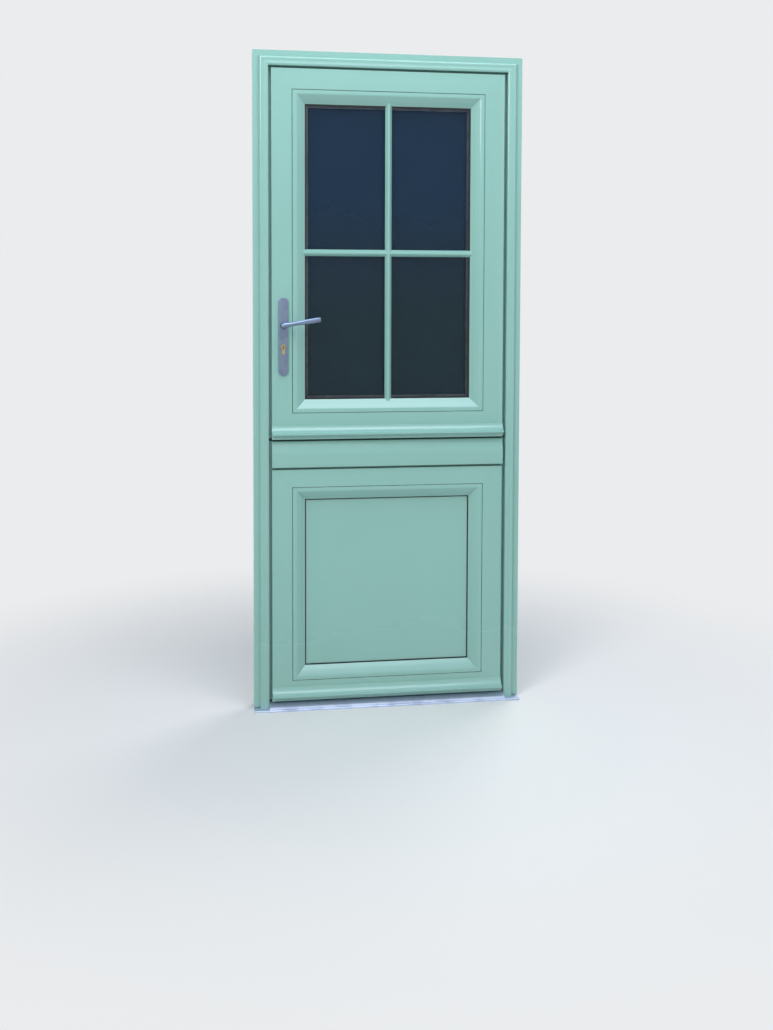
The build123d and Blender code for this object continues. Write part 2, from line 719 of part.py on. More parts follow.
for leaf, rectangle, lip in (("upper", UPPER, GLASS_SEAL_LIP), ("lower", LOWER, PANEL_SEAL_LIP)):
    with BuildPart() as gaskets:
        for y, edge in ((REBATE_Y, MOULDING + lip), (GLASS_BACK, BEAD_EDGE + BEAD_SEAL_LIP)):
            with BuildSketch(facade(y)):
                add(ring(rectangle, MOULDING - GASKET_WIDTH, edge))
            extrude(amount=GASKET)
    save(gaskets, leaf + "_gaskets")

    strips = [bead(rectangle, side) for side in OUT]
    with BuildPart() as beads:
        add(strips)
    save(beads, leaf + "_beads")


# Glazing bars on both faces of the glass, one upright and one level
def bar_section():
    """Hollow bevelled bar: x across it, y outwards from the glass."""
    half, flat = BAR_WIDTH / 2, BAR_FLAT / 2
    with BuildSketch() as section:
        with BuildLine():
            Polyline(
                (-half, 0), (-half, BAR_EDGE), (-flat, BAR_HEIGHT),
                (flat, BAR_HEIGHT), (half, BAR_EDGE), (half, 0), close=True,
            )
        make_face()
        with BuildLine():
            Polyline(
                (-half + BAR_EDGE, BEAD_WALL), (-flat, BAR_HEIGHT - BEAD_WALL),
                (flat, BAR_HEIGHT - BEAD_WALL), (half - BAR_EDGE, BEAD_WALL), close=True,
            )
        make_face(mode=Mode.SUBTRACT)
    return section.sketch


def glazing_bars(y, outwards):
    """A cross of two bars on the glass face at depth y, still longer than the glass."""
    upright = Plane(origin=(0, y, CROSS_Z), x_dir=(1, 0, 0), z_dir=(0, 0, outwards))
    level = Plane(origin=(0, y, CROSS_Z), x_dir=(0, 0, 1), z_dir=(-outwards, 0, 0))
    with BuildPart(mode=Mode.PRIVATE) as cross:
        for plane in (upright, level):
            with BuildSketch(plane):
                add(bar_section())
            extrude(amount=REACH, both=True)
    return cross.part


outer_cross = glazing_bars(GLASS_FRONT, -1)
inner_cross = glazing_bars(GLASS_BACK, 1)
BAR_END = -MOULDING - SLIDE_CLEARANCE
with BuildPart() as outer_glazing_bars:
    add(outer_cross)
    for side in OUT:
        with BuildSketch(member_plane(UPPER, side)):
            with BuildLine():
                Polyline(
                    (BAR_END - GLASS_SEAL_LIP, GLASS_FRONT + CUT),
                    (BAR_END - GLASS_SEAL_LIP, REBATE_Y - SLIDE_CLEARANCE),
                    (BAR_END, REBATE_Y - SLIDE_CLEARANCE),
                    (BAR_END, TIP_Y - SLIDE_CLEARANCE),
                    (-BAND, TIP_Y - SLIDE_CLEARANCE - SLOPE_FALL * (MOULDING - BAND)),
                    (REACH, LEAF_FRONT - BAR_HEIGHT),
                    (REACH, GLASS_FRONT + CUT),
                    close=True,
                )
            make_face()
        extrude(amount=SIGHT_TOP + REACH, both=True, mode=Mode.SUBTRACT)
save(outer_glazing_bars, "outer_glazing_bars")

with BuildPart() as inner_glazing_bars:
    add(inner_cross)
    with BuildSketch(facade(GLASS_BACK - CUT)):
        add(ring(UPPER, BEAD_EDGE + BEAD_SEAL_LIP + SLIDE_CLEARANCE, None))
    extrude(amount=BAR_HEIGHT + 2 * CUT, mode=Mode.INTERSECT)
save(inner_glazing_bars, "inner_glazing_bars")

# Corner cleats that hold the mitres together from inside
for leaf, rectangle in (("upper", UPPER), ("lower", LOWER)):
    with BuildPart() as cleats:
        for column in ("hinge", "lock"):
            for row in ("top", "bottom"):
                along_x = -OUT[column].X
                along_z = -OUT[row].Z
                corner_x = rectangle[column] + OUT[column].X * (FACE / 2 + CLEAT_WIDTH / 2)
                corner_z = rectangle[row] + OUT[row].Z * (FACE / 2 + CLEAT_WIDTH / 2)
                y = STEP_Y + LEAF_WALL + CLEAT_PLAY
                for reach_x, reach_z in ((CLEAT_LEG, CLEAT_WIDTH), (CLEAT_WIDTH, CLEAT_LEG)):
                    xs = sorted((corner_x, corner_x + along_x * reach_x))
                    zs = sorted((corner_z, corner_z + along_z * reach_z))
                    box_between((xs[0], y, zs[0]), (xs[1], y + CLEAT_THICKNESS, zs[1]))
    save(cleats, leaf + "_leaf_cleats")


# Meeting rail: it stands on the lower leaf, its nose catches the rain from the upper one
def meeting_section(band=True):
    """Profile with x into the building and y up, with or without the band in front."""
    back = LEAF_BACK - MEETING_SETBACK
    foot = LOWER["top"] + FACE + STEP
    nose = LEAF_FRONT - MEETING_PROUD
    slope_foot = MEETING_TOP - MEETING_SLOPE
    with BuildSketch() as section:
        if band:
            with BuildLine():
                TangentArc((nose, MEETING_NOSE), (nose + MEETING_SHOULDER, slope_foot), tangent=(0, 1))
                Polyline(
                    (nose + MEETING_SHOULDER, slope_foot),
                    (LEAF_FRONT + MEETING_TOP_SETBACK, MEETING_TOP),
                    (STEP_Y, MEETING_TOP),
                    (STEP_Y, MEETING_BOTTOM),
                    (LEAF_FRONT - MEETING_LOWER_PROUD, MEETING_BOTTOM),
                    (nose, MEETING_NOSE),
                )
            make_face()
        with BuildLine():
            Polyline((STEP_Y, foot), (STEP_Y, MEETING_TOP), (back, MEETING_TOP), (back, foot), close=True)
        make_face()
    return section.sketch


with BuildPart() as meeting_rail:
    with BuildSketch(Plane.YZ):
        add(meeting_section())
        offset(amount=-MEETING_WALL, kind=Kind.INTERSECTION, mode=Mode.SUBTRACT)
    extrude(amount=LEAF_X - END_CAP, both=True)
    for end in (-1, 1):
        with BuildSketch(Plane.YZ.offset(end * (LEAF_X - END_CAP))):
            add(meeting_section(band=False))
            offset(amount=-MEETING_WALL, kind=Kind.INTERSECTION, mode=Mode.SUBTRACT)
        extrude(amount=end * STEP)
save(meeting_rail, "meeting_rail")

with BuildPart() as meeting_rail_caps:
    for end in (-1, 1):
        with BuildSketch(Plane.YZ.offset(end * (LEAF_X - END_CAP))):
            with BuildLine():
                Polyline(
                    (LEAF_FRONT - MEETING_PROUD - CUT, MEETING_BOTTOM - CUT),
                    (LEAF_FRONT - MEETING_PROUD - CUT, MEETING_TOP + CUT),
                    (STEP_Y, MEETING_TOP + CUT),
                    (STEP_Y, MEETING_BOTTOM - CUT),
                    close=True,
                )
            make_face()
            add(meeting_section(), mode=Mode.INTERSECT)
        extrude(amount=end * END_CAP)
        with BuildSketch(Plane.YZ.offset(end * (MIDDLE_X - END_CAP))):
            add(meeting_section(band=False))
        extrude(amount=end * END_CAP)
save(meeting_rail_caps, "meeting_rail_caps")

# Weather seals under the upper leaf, down to the meeting rail, and under the lower one
with BuildPart() as meeting_seal:
    box_between(
        (SEAL_END_GAP - MIDDLE_X, STEP_Y + LEAF_SEAL_SETBACK, MEETING_TOP + SLIDE_CLEARANCE),
        (MIDDLE_X - SEAL_END_GAP, STEP_Y + LEAF_SEAL_SETBACK + LEAF_SEAL, UPPER_MIDDLE_BOTTOM),
    )
save(meeting_seal, "meeting_seal")

with BuildPart() as bottom_brush:
    box_between(
        (SEAL_END_GAP - LEAF_X, LEAF_MIDDLE - BRUSH / 2, SILL_TOP + SLIDE_CLEARANCE),
        (LEAF_X - SEAL_END_GAP, LEAF_MIDDLE + BRUSH / 2, LOWER_BOTTOM),
    )
save(bottom_brush, "bottom_brush")

# Drip rails: a cove that throws the rain clear, with a lip below
DRIP_NOSE = LEAF_FRONT - DRIP_PROUD
DRIP_LIP_Y = LEAF_FRONT - DRIP_LIP
for leaf, bottom in (("upper", MEETING_TOP + UPPER_DRIP_GAP), ("lower", LOWER_BOTTOM + LOWER_DRIP_GAP)):
    with BuildPart() as drip_rail:
        with BuildSketch(Plane.YZ):
            with BuildLine():
                ThreePointArc(
                    (DRIP_NOSE, bottom + DRIP_NOSE_TOP),
                    (LEAF_FRONT - DRIP_HOLLOW_OUT, bottom + DRIP_HOLLOW_RISE),
                    (LEAF_FRONT - DRIP_TOP_EDGE, bottom + DRIP_HEIGHT),
                )
                Polyline(
                    (LEAF_FRONT - DRIP_TOP_EDGE, bottom + DRIP_HEIGHT),
                    (LEAF_FRONT, bottom + DRIP_HEIGHT),
                    (LEAF_FRONT, bottom),
                    (DRIP_LIP_Y + DRIP_ARRIS, bottom),
                    (DRIP_LIP_Y, bottom + DRIP_ARRIS),
                    (DRIP_LIP_Y, bottom + DRIP_LIP_HEIGHT),
                    (DRIP_LIP_Y - DRIP_COVE, bottom + DRIP_NOSE_BOTTOM),
                    (DRIP_NOSE + DRIP_ARRIS, bottom + DRIP_NOSE_BOTTOM),
                    (DRIP_NOSE, bottom + DRIP_NOSE_BOTTOM + DRIP_ARRIS),
                    (DRIP_NOSE, bottom + DRIP_NOSE_TOP),
                )
            make_face()
        extrude(amount=LEAF_X, both=True)
    save(drip_rail, leaf + "_drip_rail")


# Hinges: plates on the inner faces of jamb and leaves, round one line of pins
for number, level in enumerate(HINGE_LEVELS, start=1):
    with BuildPart() as frame_hinge:
        box_between(
            (RIM_X + FRAME_PLATE_GAP, FRAME_BACK, level - HINGE_PLATE_HEIGHT / 2),
            (FRAME_X - FRAME_PLATE_INSET, FRAME_BACK + HINGE_PLATE, level + HINGE_PLATE_HEIGHT / 2),
        )
        for end in (-1, 1):
            near = level + end * (LEAF_KNUCKLE / 2 + KNUCKLE_GAP)
            far = level + end * HINGE_HEIGHT / 2
            box_between(
                (PIN_X - HINGE_WEB / 2, FRAME_BACK, min(near, far)),
                (PIN_X + HINGE_WEB / 2, PIN_Y, max(near, far)),
            )
            with BuildSketch(Plane.XY.offset(min(near, far))):
                with Locations((PIN_X, PIN_Y)):
                    Circle(KNUCKLE_R)
            extrude(amount=abs(far - near))
        with BuildSketch(Plane.XY.offset(level)):
            with Locations((PIN_X, PIN_Y)):
                Circle(PIN_R + RUNNING)
        extrude(amount=HINGE_HEIGHT, both=True, mode=Mode.SUBTRACT)
    save(frame_hinge, "frame_hinge_" + str(number))

    with BuildPart() as leaf_hinge:
        box_between(
            (RIM_X - LEAF_PLATE_INSET - LEAF_PLATE_WIDTH, LEAF_BACK, level - HINGE_HEIGHT / 2),
            (RIM_X - LEAF_PLATE_INSET, LEAF_BACK + HINGE_PLATE, level + HINGE_HEIGHT / 2),
        )
        box_between(
            (RIM_X - LEAF_PLATE_INSET - CUT, LEAF_BACK + CUT, level - LEAF_KNUCKLE / 2),
            (PIN_X, PIN_Y + KNUCKLE_R / 4, level + LEAF_KNUCKLE / 2),
        )
        with BuildSketch(Plane.XY.offset(level - LEAF_KNUCKLE / 2)):
            with Locations((PIN_X, PIN_Y)):
                Circle(KNUCKLE_R)
        extrude(amount=LEAF_KNUCKLE)
        with BuildSketch(Plane.XY.offset(level)):
            with Locations((PIN_X, PIN_Y)):
                Circle(PIN_R + RUNNING)
        extrude(amount=HINGE_HEIGHT, both=True, mode=Mode.SUBTRACT)
    save(leaf_hinge, "leaf_hinge_" + str(number))

with BuildPart() as hinge_pins:
    for level in HINGE_LEVELS:
        top = level + HINGE_HEIGHT / 2 + PIN_PLAY
        with BuildSketch(Plane.XY.offset(top)):
            with Locations((PIN_X, PIN_Y)):
                Circle(PIN_R)
        extrude(amount=-HINGE_HEIGHT - PIN_TAIL)
        with BuildSketch(Plane.XY.offset(top)):
            with Locations((PIN_X, PIN_Y)):
                Circle(PIN_HEAD_R)
        extrude(amount=PIN_HEAD)
save(hinge_pins, "hinge_pins")

# Lock case in the stile, with its faceplate and the keep in the jamb
BOLTS = [(LATCH_Z, LATCH_HEIGHT), (DEAD_Z, DEAD_HEIGHT)]
with BuildPart() as lock_case:
    box_between((-MIDDLE_X, CASE_FRONT, CASE_BOTTOM), (-MIDDLE_X + CASE_DEPTH, CASE_BACK, CASE_TOP))
    box_between(
        (-MIDDLE_X + CASE_WALL, CASE_FRONT + CASE_WALL, CASE_BOTTOM + CASE_WALL),
        (-MIDDLE_X + CASE_DEPTH - CASE_WALL, CASE_BACK - CASE_WALL, CASE_TOP - CASE_WALL),
        Mode.SUBTRACT,
    )
    for level, height in BOLTS:
        box_between(
            (-MIDDLE_X - CUT, BOLT_FRONT - SLIDE_CLEARANCE, level - height / 2 - SLIDE_CLEARANCE),
            (-MIDDLE_X + CASE_WALL + CUT, BOLT_BACK + SLIDE_CLEARANCE, level + height / 2 + SLIDE_CLEARANCE),
            Mode.SUBTRACT,
        )
    with BuildSketch(Plane.XZ):
        with Locations((HANDLE_X, HANDLE_Z)):
            Circle(FOLLOWER_HOLE)
        with Locations((HANDLE_X, CYLINDER_Z)):
            add(cylinder_outline(SLIDE_CLEARANCE))
    extrude(amount=REACH, both=True, mode=Mode.SUBTRACT)
save(lock_case, "lock_case")

with BuildPart() as lock_faceplate:
    box_between(
        (FACEPLATE_X, LEAF_MIDDLE - FACEPLATE_WIDTH / 2, CASE_BOTTOM - FACEPLATE_MARGIN),
        (-MIDDLE_X, LEAF_MIDDLE + FACEPLATE_WIDTH / 2, CASE_TOP + FACEPLATE_MARGIN),
    )
    for level, height in BOLTS:
        box_between(
            (FACEPLATE_X - CUT, BOLT_FRONT - SLIDE_CLEARANCE, level - height / 2 - SLIDE_CLEARANCE),
            (-MIDDLE_X + CUT, BOLT_BACK + SLIDE_CLEARANCE, level + height / 2 + SLIDE_CLEARANCE),
            Mode.SUBTRACT,
        )
save(lock_faceplate, "lock_faceplate")

with BuildPart() as lock_keep:
    box_between(
        (-REBATE_X, LEAF_MIDDLE - KEEP_WIDTH / 2, KEEP_BOTTOM),
        (KEEP_X, LEAF_MIDDLE + KEEP_WIDTH / 2, KEEP_TOP),
    )
    for level, height in BOLTS:
        box_between(
            (-REBATE_X - CUT, BOLT_FRONT - SLOT_CLEARANCE, level - height / 2 - SLOT_CLEARANCE),
            (KEEP_X + CUT, BOLT_BACK + SLOT_CLEARANCE, level + height / 2 + SLOT_CLEARANCE),
            Mode.SUBTRACT,
        )
save(lock_keep, "lock_keep")

# Latch bolt with its bevelled head, and the square dead bolt
with BuildPart() as latch_bolt:
    box_between(
        (LATCH_TIP, BOLT_FRONT, LATCH_Z - LATCH_HEIGHT / 2),
        (LATCH_TIP + LATCH_LENGTH, BOLT_BACK, LATCH_Z + LATCH_HEIGHT / 2),
    )
    nose = latch_bolt.edges().filter_by(Axis.Z).sort_by(Axis.X)[0:2].sort_by(Axis.Y)[0]
    chamfer(nose, length=LATCH_BEVEL, length2=BOLT_THICKNESS - LATCH_NOSE)
    with BuildSketch(Plane.YZ.offset(LATCH_TIP + LATCH_LENGTH)):
        with Locations((LEAF_MIDDLE, LATCH_Z)):
            Rectangle(LATCH_TAIL_WIDTH, LATCH_TAIL_HEIGHT)
    extrude(amount=LATCH_TAIL)
save(latch_bolt, "latch_bolt")

with BuildPart() as dead_bolt:
    box_between(
        (FACEPLATE_X + DEAD_SETBACK, BOLT_FRONT, DEAD_Z - DEAD_HEIGHT / 2),
        (FACEPLATE_X + DEAD_SETBACK + DEAD_LENGTH, BOLT_BACK, DEAD_Z + DEAD_HEIGHT / 2),
    )
    chamfer(dead_bolt.faces().sort_by(Axis.X)[0].edges(), length=DEAD_CHAMFER)
save(dead_bolt, "dead_bolt")

# Key cylinder: a fixed body and the plug that turns in it with its cam
CYLINDER_FRONT = LEAF_FRONT - PLATE_THICKNESS - CYLINDER_PROUD
CYLINDER_LENGTH = LEAF_DEPTH + 2 * (PLATE_THICKNESS + CYLINDER_PROUD)
CYLINDER_PLANE = Plane(origin=(HANDLE_X, CYLINDER_FRONT, CYLINDER_Z), x_dir=(-1, 0, 0), z_dir=(0, 1, 0))
with BuildPart() as cylinder_body:
    with BuildSketch(CYLINDER_PLANE):
        add(cylinder_outline(-SHAFT_CLEARANCE))
        Circle(PLUG_R + RUNNING, mode=Mode.SUBTRACT)
    extrude(amount=CYLINDER_LENGTH)
    with BuildSketch(CYLINDER_PLANE.offset((CYLINDER_LENGTH - CAM_WIDTH) / 2 - SLIDE_CLEARANCE)):
        Circle(CAM_R + CAM_CLEARANCE)
    extrude(amount=CAM_WIDTH + 2 * SLIDE_CLEARANCE, mode=Mode.SUBTRACT)
save(cylinder_body, "cylinder_body")

with BuildPart() as cylinder_plug:
    with BuildSketch(CYLINDER_PLANE.offset(-PLUG_PROUD)):
        Circle(PLUG_R)
    extrude(amount=CYLINDER_LENGTH + 2 * PLUG_PROUD)
    with BuildSketch(CYLINDER_PLANE.offset((CYLINDER_LENGTH - CAM_WIDTH) / 2)):
        Circle(BARREL_R - SHAFT_CLEARANCE)
        with Locations((0, -CAM_R / 2)):
            Rectangle(CAM_ARM, CAM_R)
    extrude(amount=CAM_WIDTH)
    for start in (-CUT, CYLINDER_LENGTH + CUT - KEYWAY_DEPTH):
        with BuildSketch(CYLINDER_PLANE.offset(start)):
            with Locations((0, KEYWAY_HEIGHT / 2 + KEYWAY_RIM - PLUG_R)):
                Rectangle(KEYWAY_WIDTH, KEYWAY_HEIGHT)
        extrude(amount=KEYWAY_DEPTH, mode=Mode.SUBTRACT)
save(cylinder_plug, "cylinder_plug")

# Handle plates, the two levers and the square spindle with its follower
HANDLE_PLANE = Plane(origin=(HANDLE_X, LEAF_FRONT, HANDLE_Z), x_dir=(1, 0, 0), z_dir=(0, -1, 0))
with BuildPart() as outer_handle_plate:
    with BuildSketch(outdoors(LEAF_FRONT)):
        with Locations((HANDLE_X, (PLATE_BOTTOM + PLATE_TOP) / 2)):
            RectangleRounded(PLATE_WIDTH, PLATE_TOP - PLATE_BOTTOM, PLATE_CORNER)
    extrude(amount=PLATE_THICKNESS)
    chamfer(outer_handle_plate.faces().sort_by(Axis.Y)[0].edges(), length=PLATE_EDGE)
    with BuildSketch(outdoors(LEAF_FRONT)):
        with Locations((HANDLE_X, HANDLE_Z)):
            Circle(NECK_HOLE)
        with Locations((HANDLE_X, CYLINDER_Z)):
            add(cylinder_outline())
    extrude(amount=PLATE_THICKNESS + CUT, mode=Mode.SUBTRACT)
save(outer_handle_plate, "outer_handle_plate")

with BuildPart() as inner_handle_plate:
    mirror(outer_handle_plate.part, about=Plane.XZ.offset(-LEAF_MIDDLE), mode=Mode.ADD)
save(inner_handle_plate, "inner_handle_plate")

with BuildPart() as outer_lever:
    rise = radians(LEVER_RISE)
    lever_y = LEAF_FRONT - LEVER_STAND
    lever_plane = Plane(
        origin=(HANDLE_X, lever_y, HANDLE_Z), x_dir=(cos(rise), 0, sin(rise)), z_dir=(0, -1, 0)
    )
    with BuildSketch(lever_plane):
        with BuildLine():
            Polyline(
                *LEVER_HEAD,
                (LEVER_ROOT, LEVER_ROOT_R),
                (LEVER_REACH - LEVER_TIP_EDGE, LEVER_TIP_R),
                (LEVER_REACH, LEVER_TIP_R - LEVER_TIP_EDGE),
                (LEVER_REACH, 0),
                close=True,
            )
        make_face()
    revolve(axis=Axis(lever_plane.origin, lever_plane.x_dir))
    neck_plane = Plane(origin=HANDLE_PLANE.origin, x_dir=(1, 0, 0), z_dir=(0, 0, -1))
    with BuildSketch(neck_plane):
        with BuildLine():
            Polyline(
                (0, -NECK_ENTRY),
                (NECK_R, -NECK_ENTRY),
                (NECK_R, COLLAR_HEIGHT),
                (NECK_TOP_R + NECK_SHOULDER, COLLAR_HEIGHT),
                (NECK_TOP_R, LEVER_STAND - NECK_ENTRY),
                (0, LEVER_STAND - NECK_ENTRY),
                close=True,
            )
        make_face()
    revolve(axis=Axis(HANDLE_PLANE.origin, HANDLE_PLANE.z_dir))
    with BuildSketch(HANDLE_PLANE.offset(-NECK_ENTRY - CUT)):
        Rectangle(SPINDLE + 2 * SHAFT_CLEARANCE, SPINDLE + 2 * SHAFT_CLEARANCE)
    extrude(amount=SPINDLE_SOCKET, mode=Mode.SUBTRACT)
save(outer_lever, "outer_lever")

with BuildPart() as inner_lever:
    mirror(outer_lever.part, about=Plane.XZ.offset(-LEAF_MIDDLE), mode=Mode.ADD)
save(inner_lever, "inner_lever")

with BuildPart() as lever_spindle:
    spindle_out = SPINDLE_SOCKET - NECK_ENTRY - 2 * CUT
    with BuildSketch(HANDLE_PLANE.offset(spindle_out)):
        Rectangle(SPINDLE, SPINDLE)
    extrude(amount=-LEAF_DEPTH - 2 * spindle_out)
    with BuildSketch(HANDLE_PLANE.offset(LEAF_FRONT - CASE_BACK + CASE_WALL + SLIDE_CLEARANCE)):
        Circle(FOLLOWER_R)
        with Locations((0, FOLLOWER_ARM / 2)):
            Rectangle(FOLLOWER_ARM_WIDTH, FOLLOWER_ARM)
    extrude(amount=CASE_THICKNESS - 2 * CASE_WALL - 2 * SLIDE_CLEARANCE)
save(lever_spindle, "lever_spindle")


# Barrel bolts: a plate with two guides, the rod with its knob, and the keep
def barrel_bolt(plane, plate_start):
    """Plate with its two guides, and the rod with its knob.

    The plane lies on the leaf's face with its origin under the rod's tip; the rod lies along
    its negative x, and the plate starts at the given distance behind the tip.
    """
    middle = -plate_start - BOLT_PLATE_LENGTH / 2
    reach = BOLT_PLATE_LENGTH / 2 - GUIDE_MARGIN - GUIDE_LENGTH / 2
    guides = [middle - reach, middle + reach]
    rod_origin = plane.origin + plane.z_dir * BOLT_AXIS
    rod_plane = Plane(origin=rod_origin, x_dir=plane.y_dir, z_dir=-plane.x_dir)
    with BuildPart(mode=Mode.PRIVATE) as plate:
        with BuildSketch(plane):
            with Locations((middle, 0)):
                Rectangle(BOLT_PLATE_LENGTH, BOLT_PLATE_WIDTH)
        extrude(amount=BOLT_PLATE)
        with BuildSketch(plane):
            with Locations(*[(x, 0) for x in guides]):
                Rectangle(GUIDE_LENGTH, GUIDE_WIDTH)
        extrude(amount=BOLT_AXIS + BOLT_ROD_R + GUIDE_MARGIN)
        with BuildSketch(rod_plane):
            Circle(BOLT_ROD_R + RUNNING)
        extrude(amount=REACH, both=True, mode=Mode.SUBTRACT)
    knob_rest = guides[0] + GUIDE_LENGTH / 2 + KNOB_R + GUIDE_MARGIN
    with BuildPart(mode=Mode.PRIVATE) as rod:
        with BuildSketch(rod_plane):
            Circle(BOLT_ROD_R)
        extrude(amount=GUIDE_LENGTH / 2 + ROD_TAIL - guides[0])
        chamfer(rod.faces().sort_by(Axis(rod_plane.origin, rod_plane.z_dir))[0].edges(), length=ROD_CHAMFER)
        with BuildSketch(plane.offset(BOLT_AXIS)):
            with Locations((knob_rest, 0)):
                Circle(KNOB_R)
        extrude(amount=BOLT_ROD_R + KNOB_HEIGHT)
    return plate.part, rod.part


side_plane = Plane(origin=(SIDE_BOLT_TIP, LEAF_BACK, SIDE_BOLT_Z), x_dir=(-1, 0, 0), z_dir=(0, 1, 0))
side_parts = barrel_bolt(side_plane, SIDE_BOLT_START - SIDE_BOLT_TIP)
coupling_plane = Plane(origin=(COUPLING_X, LEAF_BACK, COUPLING_TIP), x_dir=(0, 0, 1), z_dir=(0, 1, 0))
coupling_parts = barrel_bolt(coupling_plane, COUPLING_TIP - COUPLING_START)
for name, parts in (("side_bolt", side_parts), ("coupling_bolt", coupling_parts)):
    with BuildPart() as bolt_plate:
        add(parts[0])
    save(bolt_plate, name + "_plate")
    with BuildPart() as bolt_rod:
        add(parts[1])
    save(bolt_rod, name)

KEEP_FRONT = BOLT_Y + BOLT_ROD_R + ROD_CLEARANCE + GUIDE_MARGIN
with BuildPart() as side_bolt_keep:
    box_between(
        (SIDE_KEEP_INSET - FRAME_X, FRAME_BACK, SIDE_BOLT_Z - BOLT_KEEP_WIDTH / 2),
        (-RIM_X - SIDE_KEEP_GAP, KEEP_FRONT, SIDE_BOLT_Z + BOLT_KEEP_WIDTH / 2),
    )
    with BuildSketch(Plane.YZ):
        with Locations((BOLT_Y, SIDE_BOLT_Z)):
            Circle(BOLT_ROD_R + ROD_CLEARANCE)
    extrude(amount=REACH, both=True, mode=Mode.SUBTRACT)
save(side_bolt_keep, "side_bolt_keep")

with BuildPart() as coupling_bolt_keep:
    box_between(
        (COUPLING_X - BOLT_KEEP_WIDTH / 2, LEAF_BACK, COUPLING_KEEP_BOTTOM),
        (COUPLING_X + BOLT_KEEP_WIDTH / 2, KEEP_FRONT, COUPLING_KEEP_BOTTOM + COUPLING_KEEP_HEIGHT),
    )
    with BuildSketch(Plane.XY):
        with Locations((COUPLING_X, BOLT_Y)):
            Circle(BOLT_ROD_R + ROD_CLEARANCE)
    extrude(amount=REACH, both=True, mode=Mode.SUBTRACT)
save(coupling_bolt_keep, "coupling_bolt_keep")
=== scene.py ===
"""Stable door in its frame: finishes, small fittings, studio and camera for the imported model."""

import logging
import math
from contextlib import contextmanager
from dataclasses import dataclass, field
from enum import Enum
from typing import Callable, Iterable, Iterator, Optional

import bmesh
import bpy
from mathutils import Matrix, Vector


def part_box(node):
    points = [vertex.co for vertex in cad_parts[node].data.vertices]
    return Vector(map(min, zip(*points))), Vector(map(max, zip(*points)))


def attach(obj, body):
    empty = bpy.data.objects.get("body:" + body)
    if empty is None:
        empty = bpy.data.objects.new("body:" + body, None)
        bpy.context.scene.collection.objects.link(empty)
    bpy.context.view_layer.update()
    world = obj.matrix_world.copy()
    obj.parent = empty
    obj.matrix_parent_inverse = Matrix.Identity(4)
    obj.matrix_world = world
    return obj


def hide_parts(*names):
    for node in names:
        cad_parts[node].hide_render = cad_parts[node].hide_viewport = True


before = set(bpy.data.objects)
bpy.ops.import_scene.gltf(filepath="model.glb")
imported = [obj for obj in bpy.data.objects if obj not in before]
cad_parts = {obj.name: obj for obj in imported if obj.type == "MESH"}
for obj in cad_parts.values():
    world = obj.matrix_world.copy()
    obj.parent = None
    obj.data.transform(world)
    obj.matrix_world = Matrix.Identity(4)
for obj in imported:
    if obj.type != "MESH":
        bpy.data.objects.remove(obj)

LOG = logging.getLogger("stable_door")
QUARTER_TURN = math.radians(90.0)
SMOOTH_LIMIT = math.radians(32.0)  # edges that turn more than this stay sharp
FACING = 0.9  # cosine above which a face or an edge counts as facing along an axis
Colour = tuple[float, float, float]


class Grain(Enum):
    """How fast the lines of a drawn or brushed metal change along X, Y and Z."""

    ALONG_X = (1.5, 260.0, 260.0)
    ALONG_Z = (260.0, 260.0, 1.5)


class Edge(Enum):
    """Width in metres of the small rounding that a piece's edges get."""

    SHARP = 0.0
    FINE = 0.0003
    PAINTED = 0.0004


class Element(Enum):
    """What is selected in edit mode, by the name of its list in the mesh."""

    FACE = "faces"
    EDGE = "edges"


def srgb(red: int, green: int, blue: int) -> Colour:
    """Linear colour of an 8-bit sRGB one."""

    def linear(value: int) -> float:
        """Linear value of one channel."""
        share = value / 255
        return share / 12.92 if share <= 0.04045 else ((share + 0.055) / 1.055) ** 2.4

    return (linear(red), linear(green), linear(blue))


def make_active(piece: bpy.types.Object) -> None:
    """Select one piece alone and make it the active one."""
    bpy.ops.object.select_all(action="DESELECT")
    piece.select_set(True)
    bpy.context.view_layer.objects.active = piece


@contextmanager
def edit_mode(piece: bpy.types.Object) -> Iterator[None]:
    """Edit one piece, with nothing selected in it at first."""
    make_active(piece)
    bpy.ops.object.mode_set(mode="EDIT")
    bpy.ops.mesh.select_all(action="DESELECT")
    yield
    bpy.ops.object.mode_set(mode="OBJECT")


def select_where(piece: bpy.types.Object, kind: Element, wanted: Callable[..., bool]) -> None:
    """Select the faces or edges that pass a test, in edit mode.

    Args:
        piece: the piece in edit mode.
        kind: faces or edges.
        wanted: the test, called with each of them.
    """
    bpy.ops.mesh.select_mode(type=kind.name)
    mesh = bmesh.from_edit_mesh(piece.data)
    for element in getattr(mesh, kind.value):
        element.select_set(wanted(element))
    bmesh.update_edit_mesh(piece.data)


def edge_run(edge: bmesh.types.BMEdge) -> Vector:
    """Direction of an edge."""
    return (edge.verts[1].co - edge.verts[0].co).normalized()


def settle(piece: bpy.types.Object) -> None:
    """Put a piece's place, turn and scale into its mesh."""
    make_active(piece)
    bpy.ops.object.transform_apply(location=True, rotation=True, scale=True)


def apply_modifier(piece: bpy.types.Object, name: str, kind: str, **settings: object) -> None:
    """Add a modifier to a piece and apply it.

    Args:
        piece: the piece.
        name: the modifier's name.
        kind: its type.
        settings: its settings.
    """
    make_active(piece)
    modifier = piece.modifiers.new(name, kind)
    for key, value in settings.items():
        setattr(modifier, key, value)
    bpy.ops.object.modifier_apply(modifier=name)


def subtract(piece: bpy.types.Object, cutter: bpy.types.Object) -> None:
    """Take one body out of another and delete it.

    Args:
        piece: what is cut.
        cutter: what is taken out.
    """
    apply_modifier(
        piece, "cut", "BOOLEAN", operation="DIFFERENCE", solver="EXACT", object=cutter
    )
    bpy.data.objects.remove(cutter)


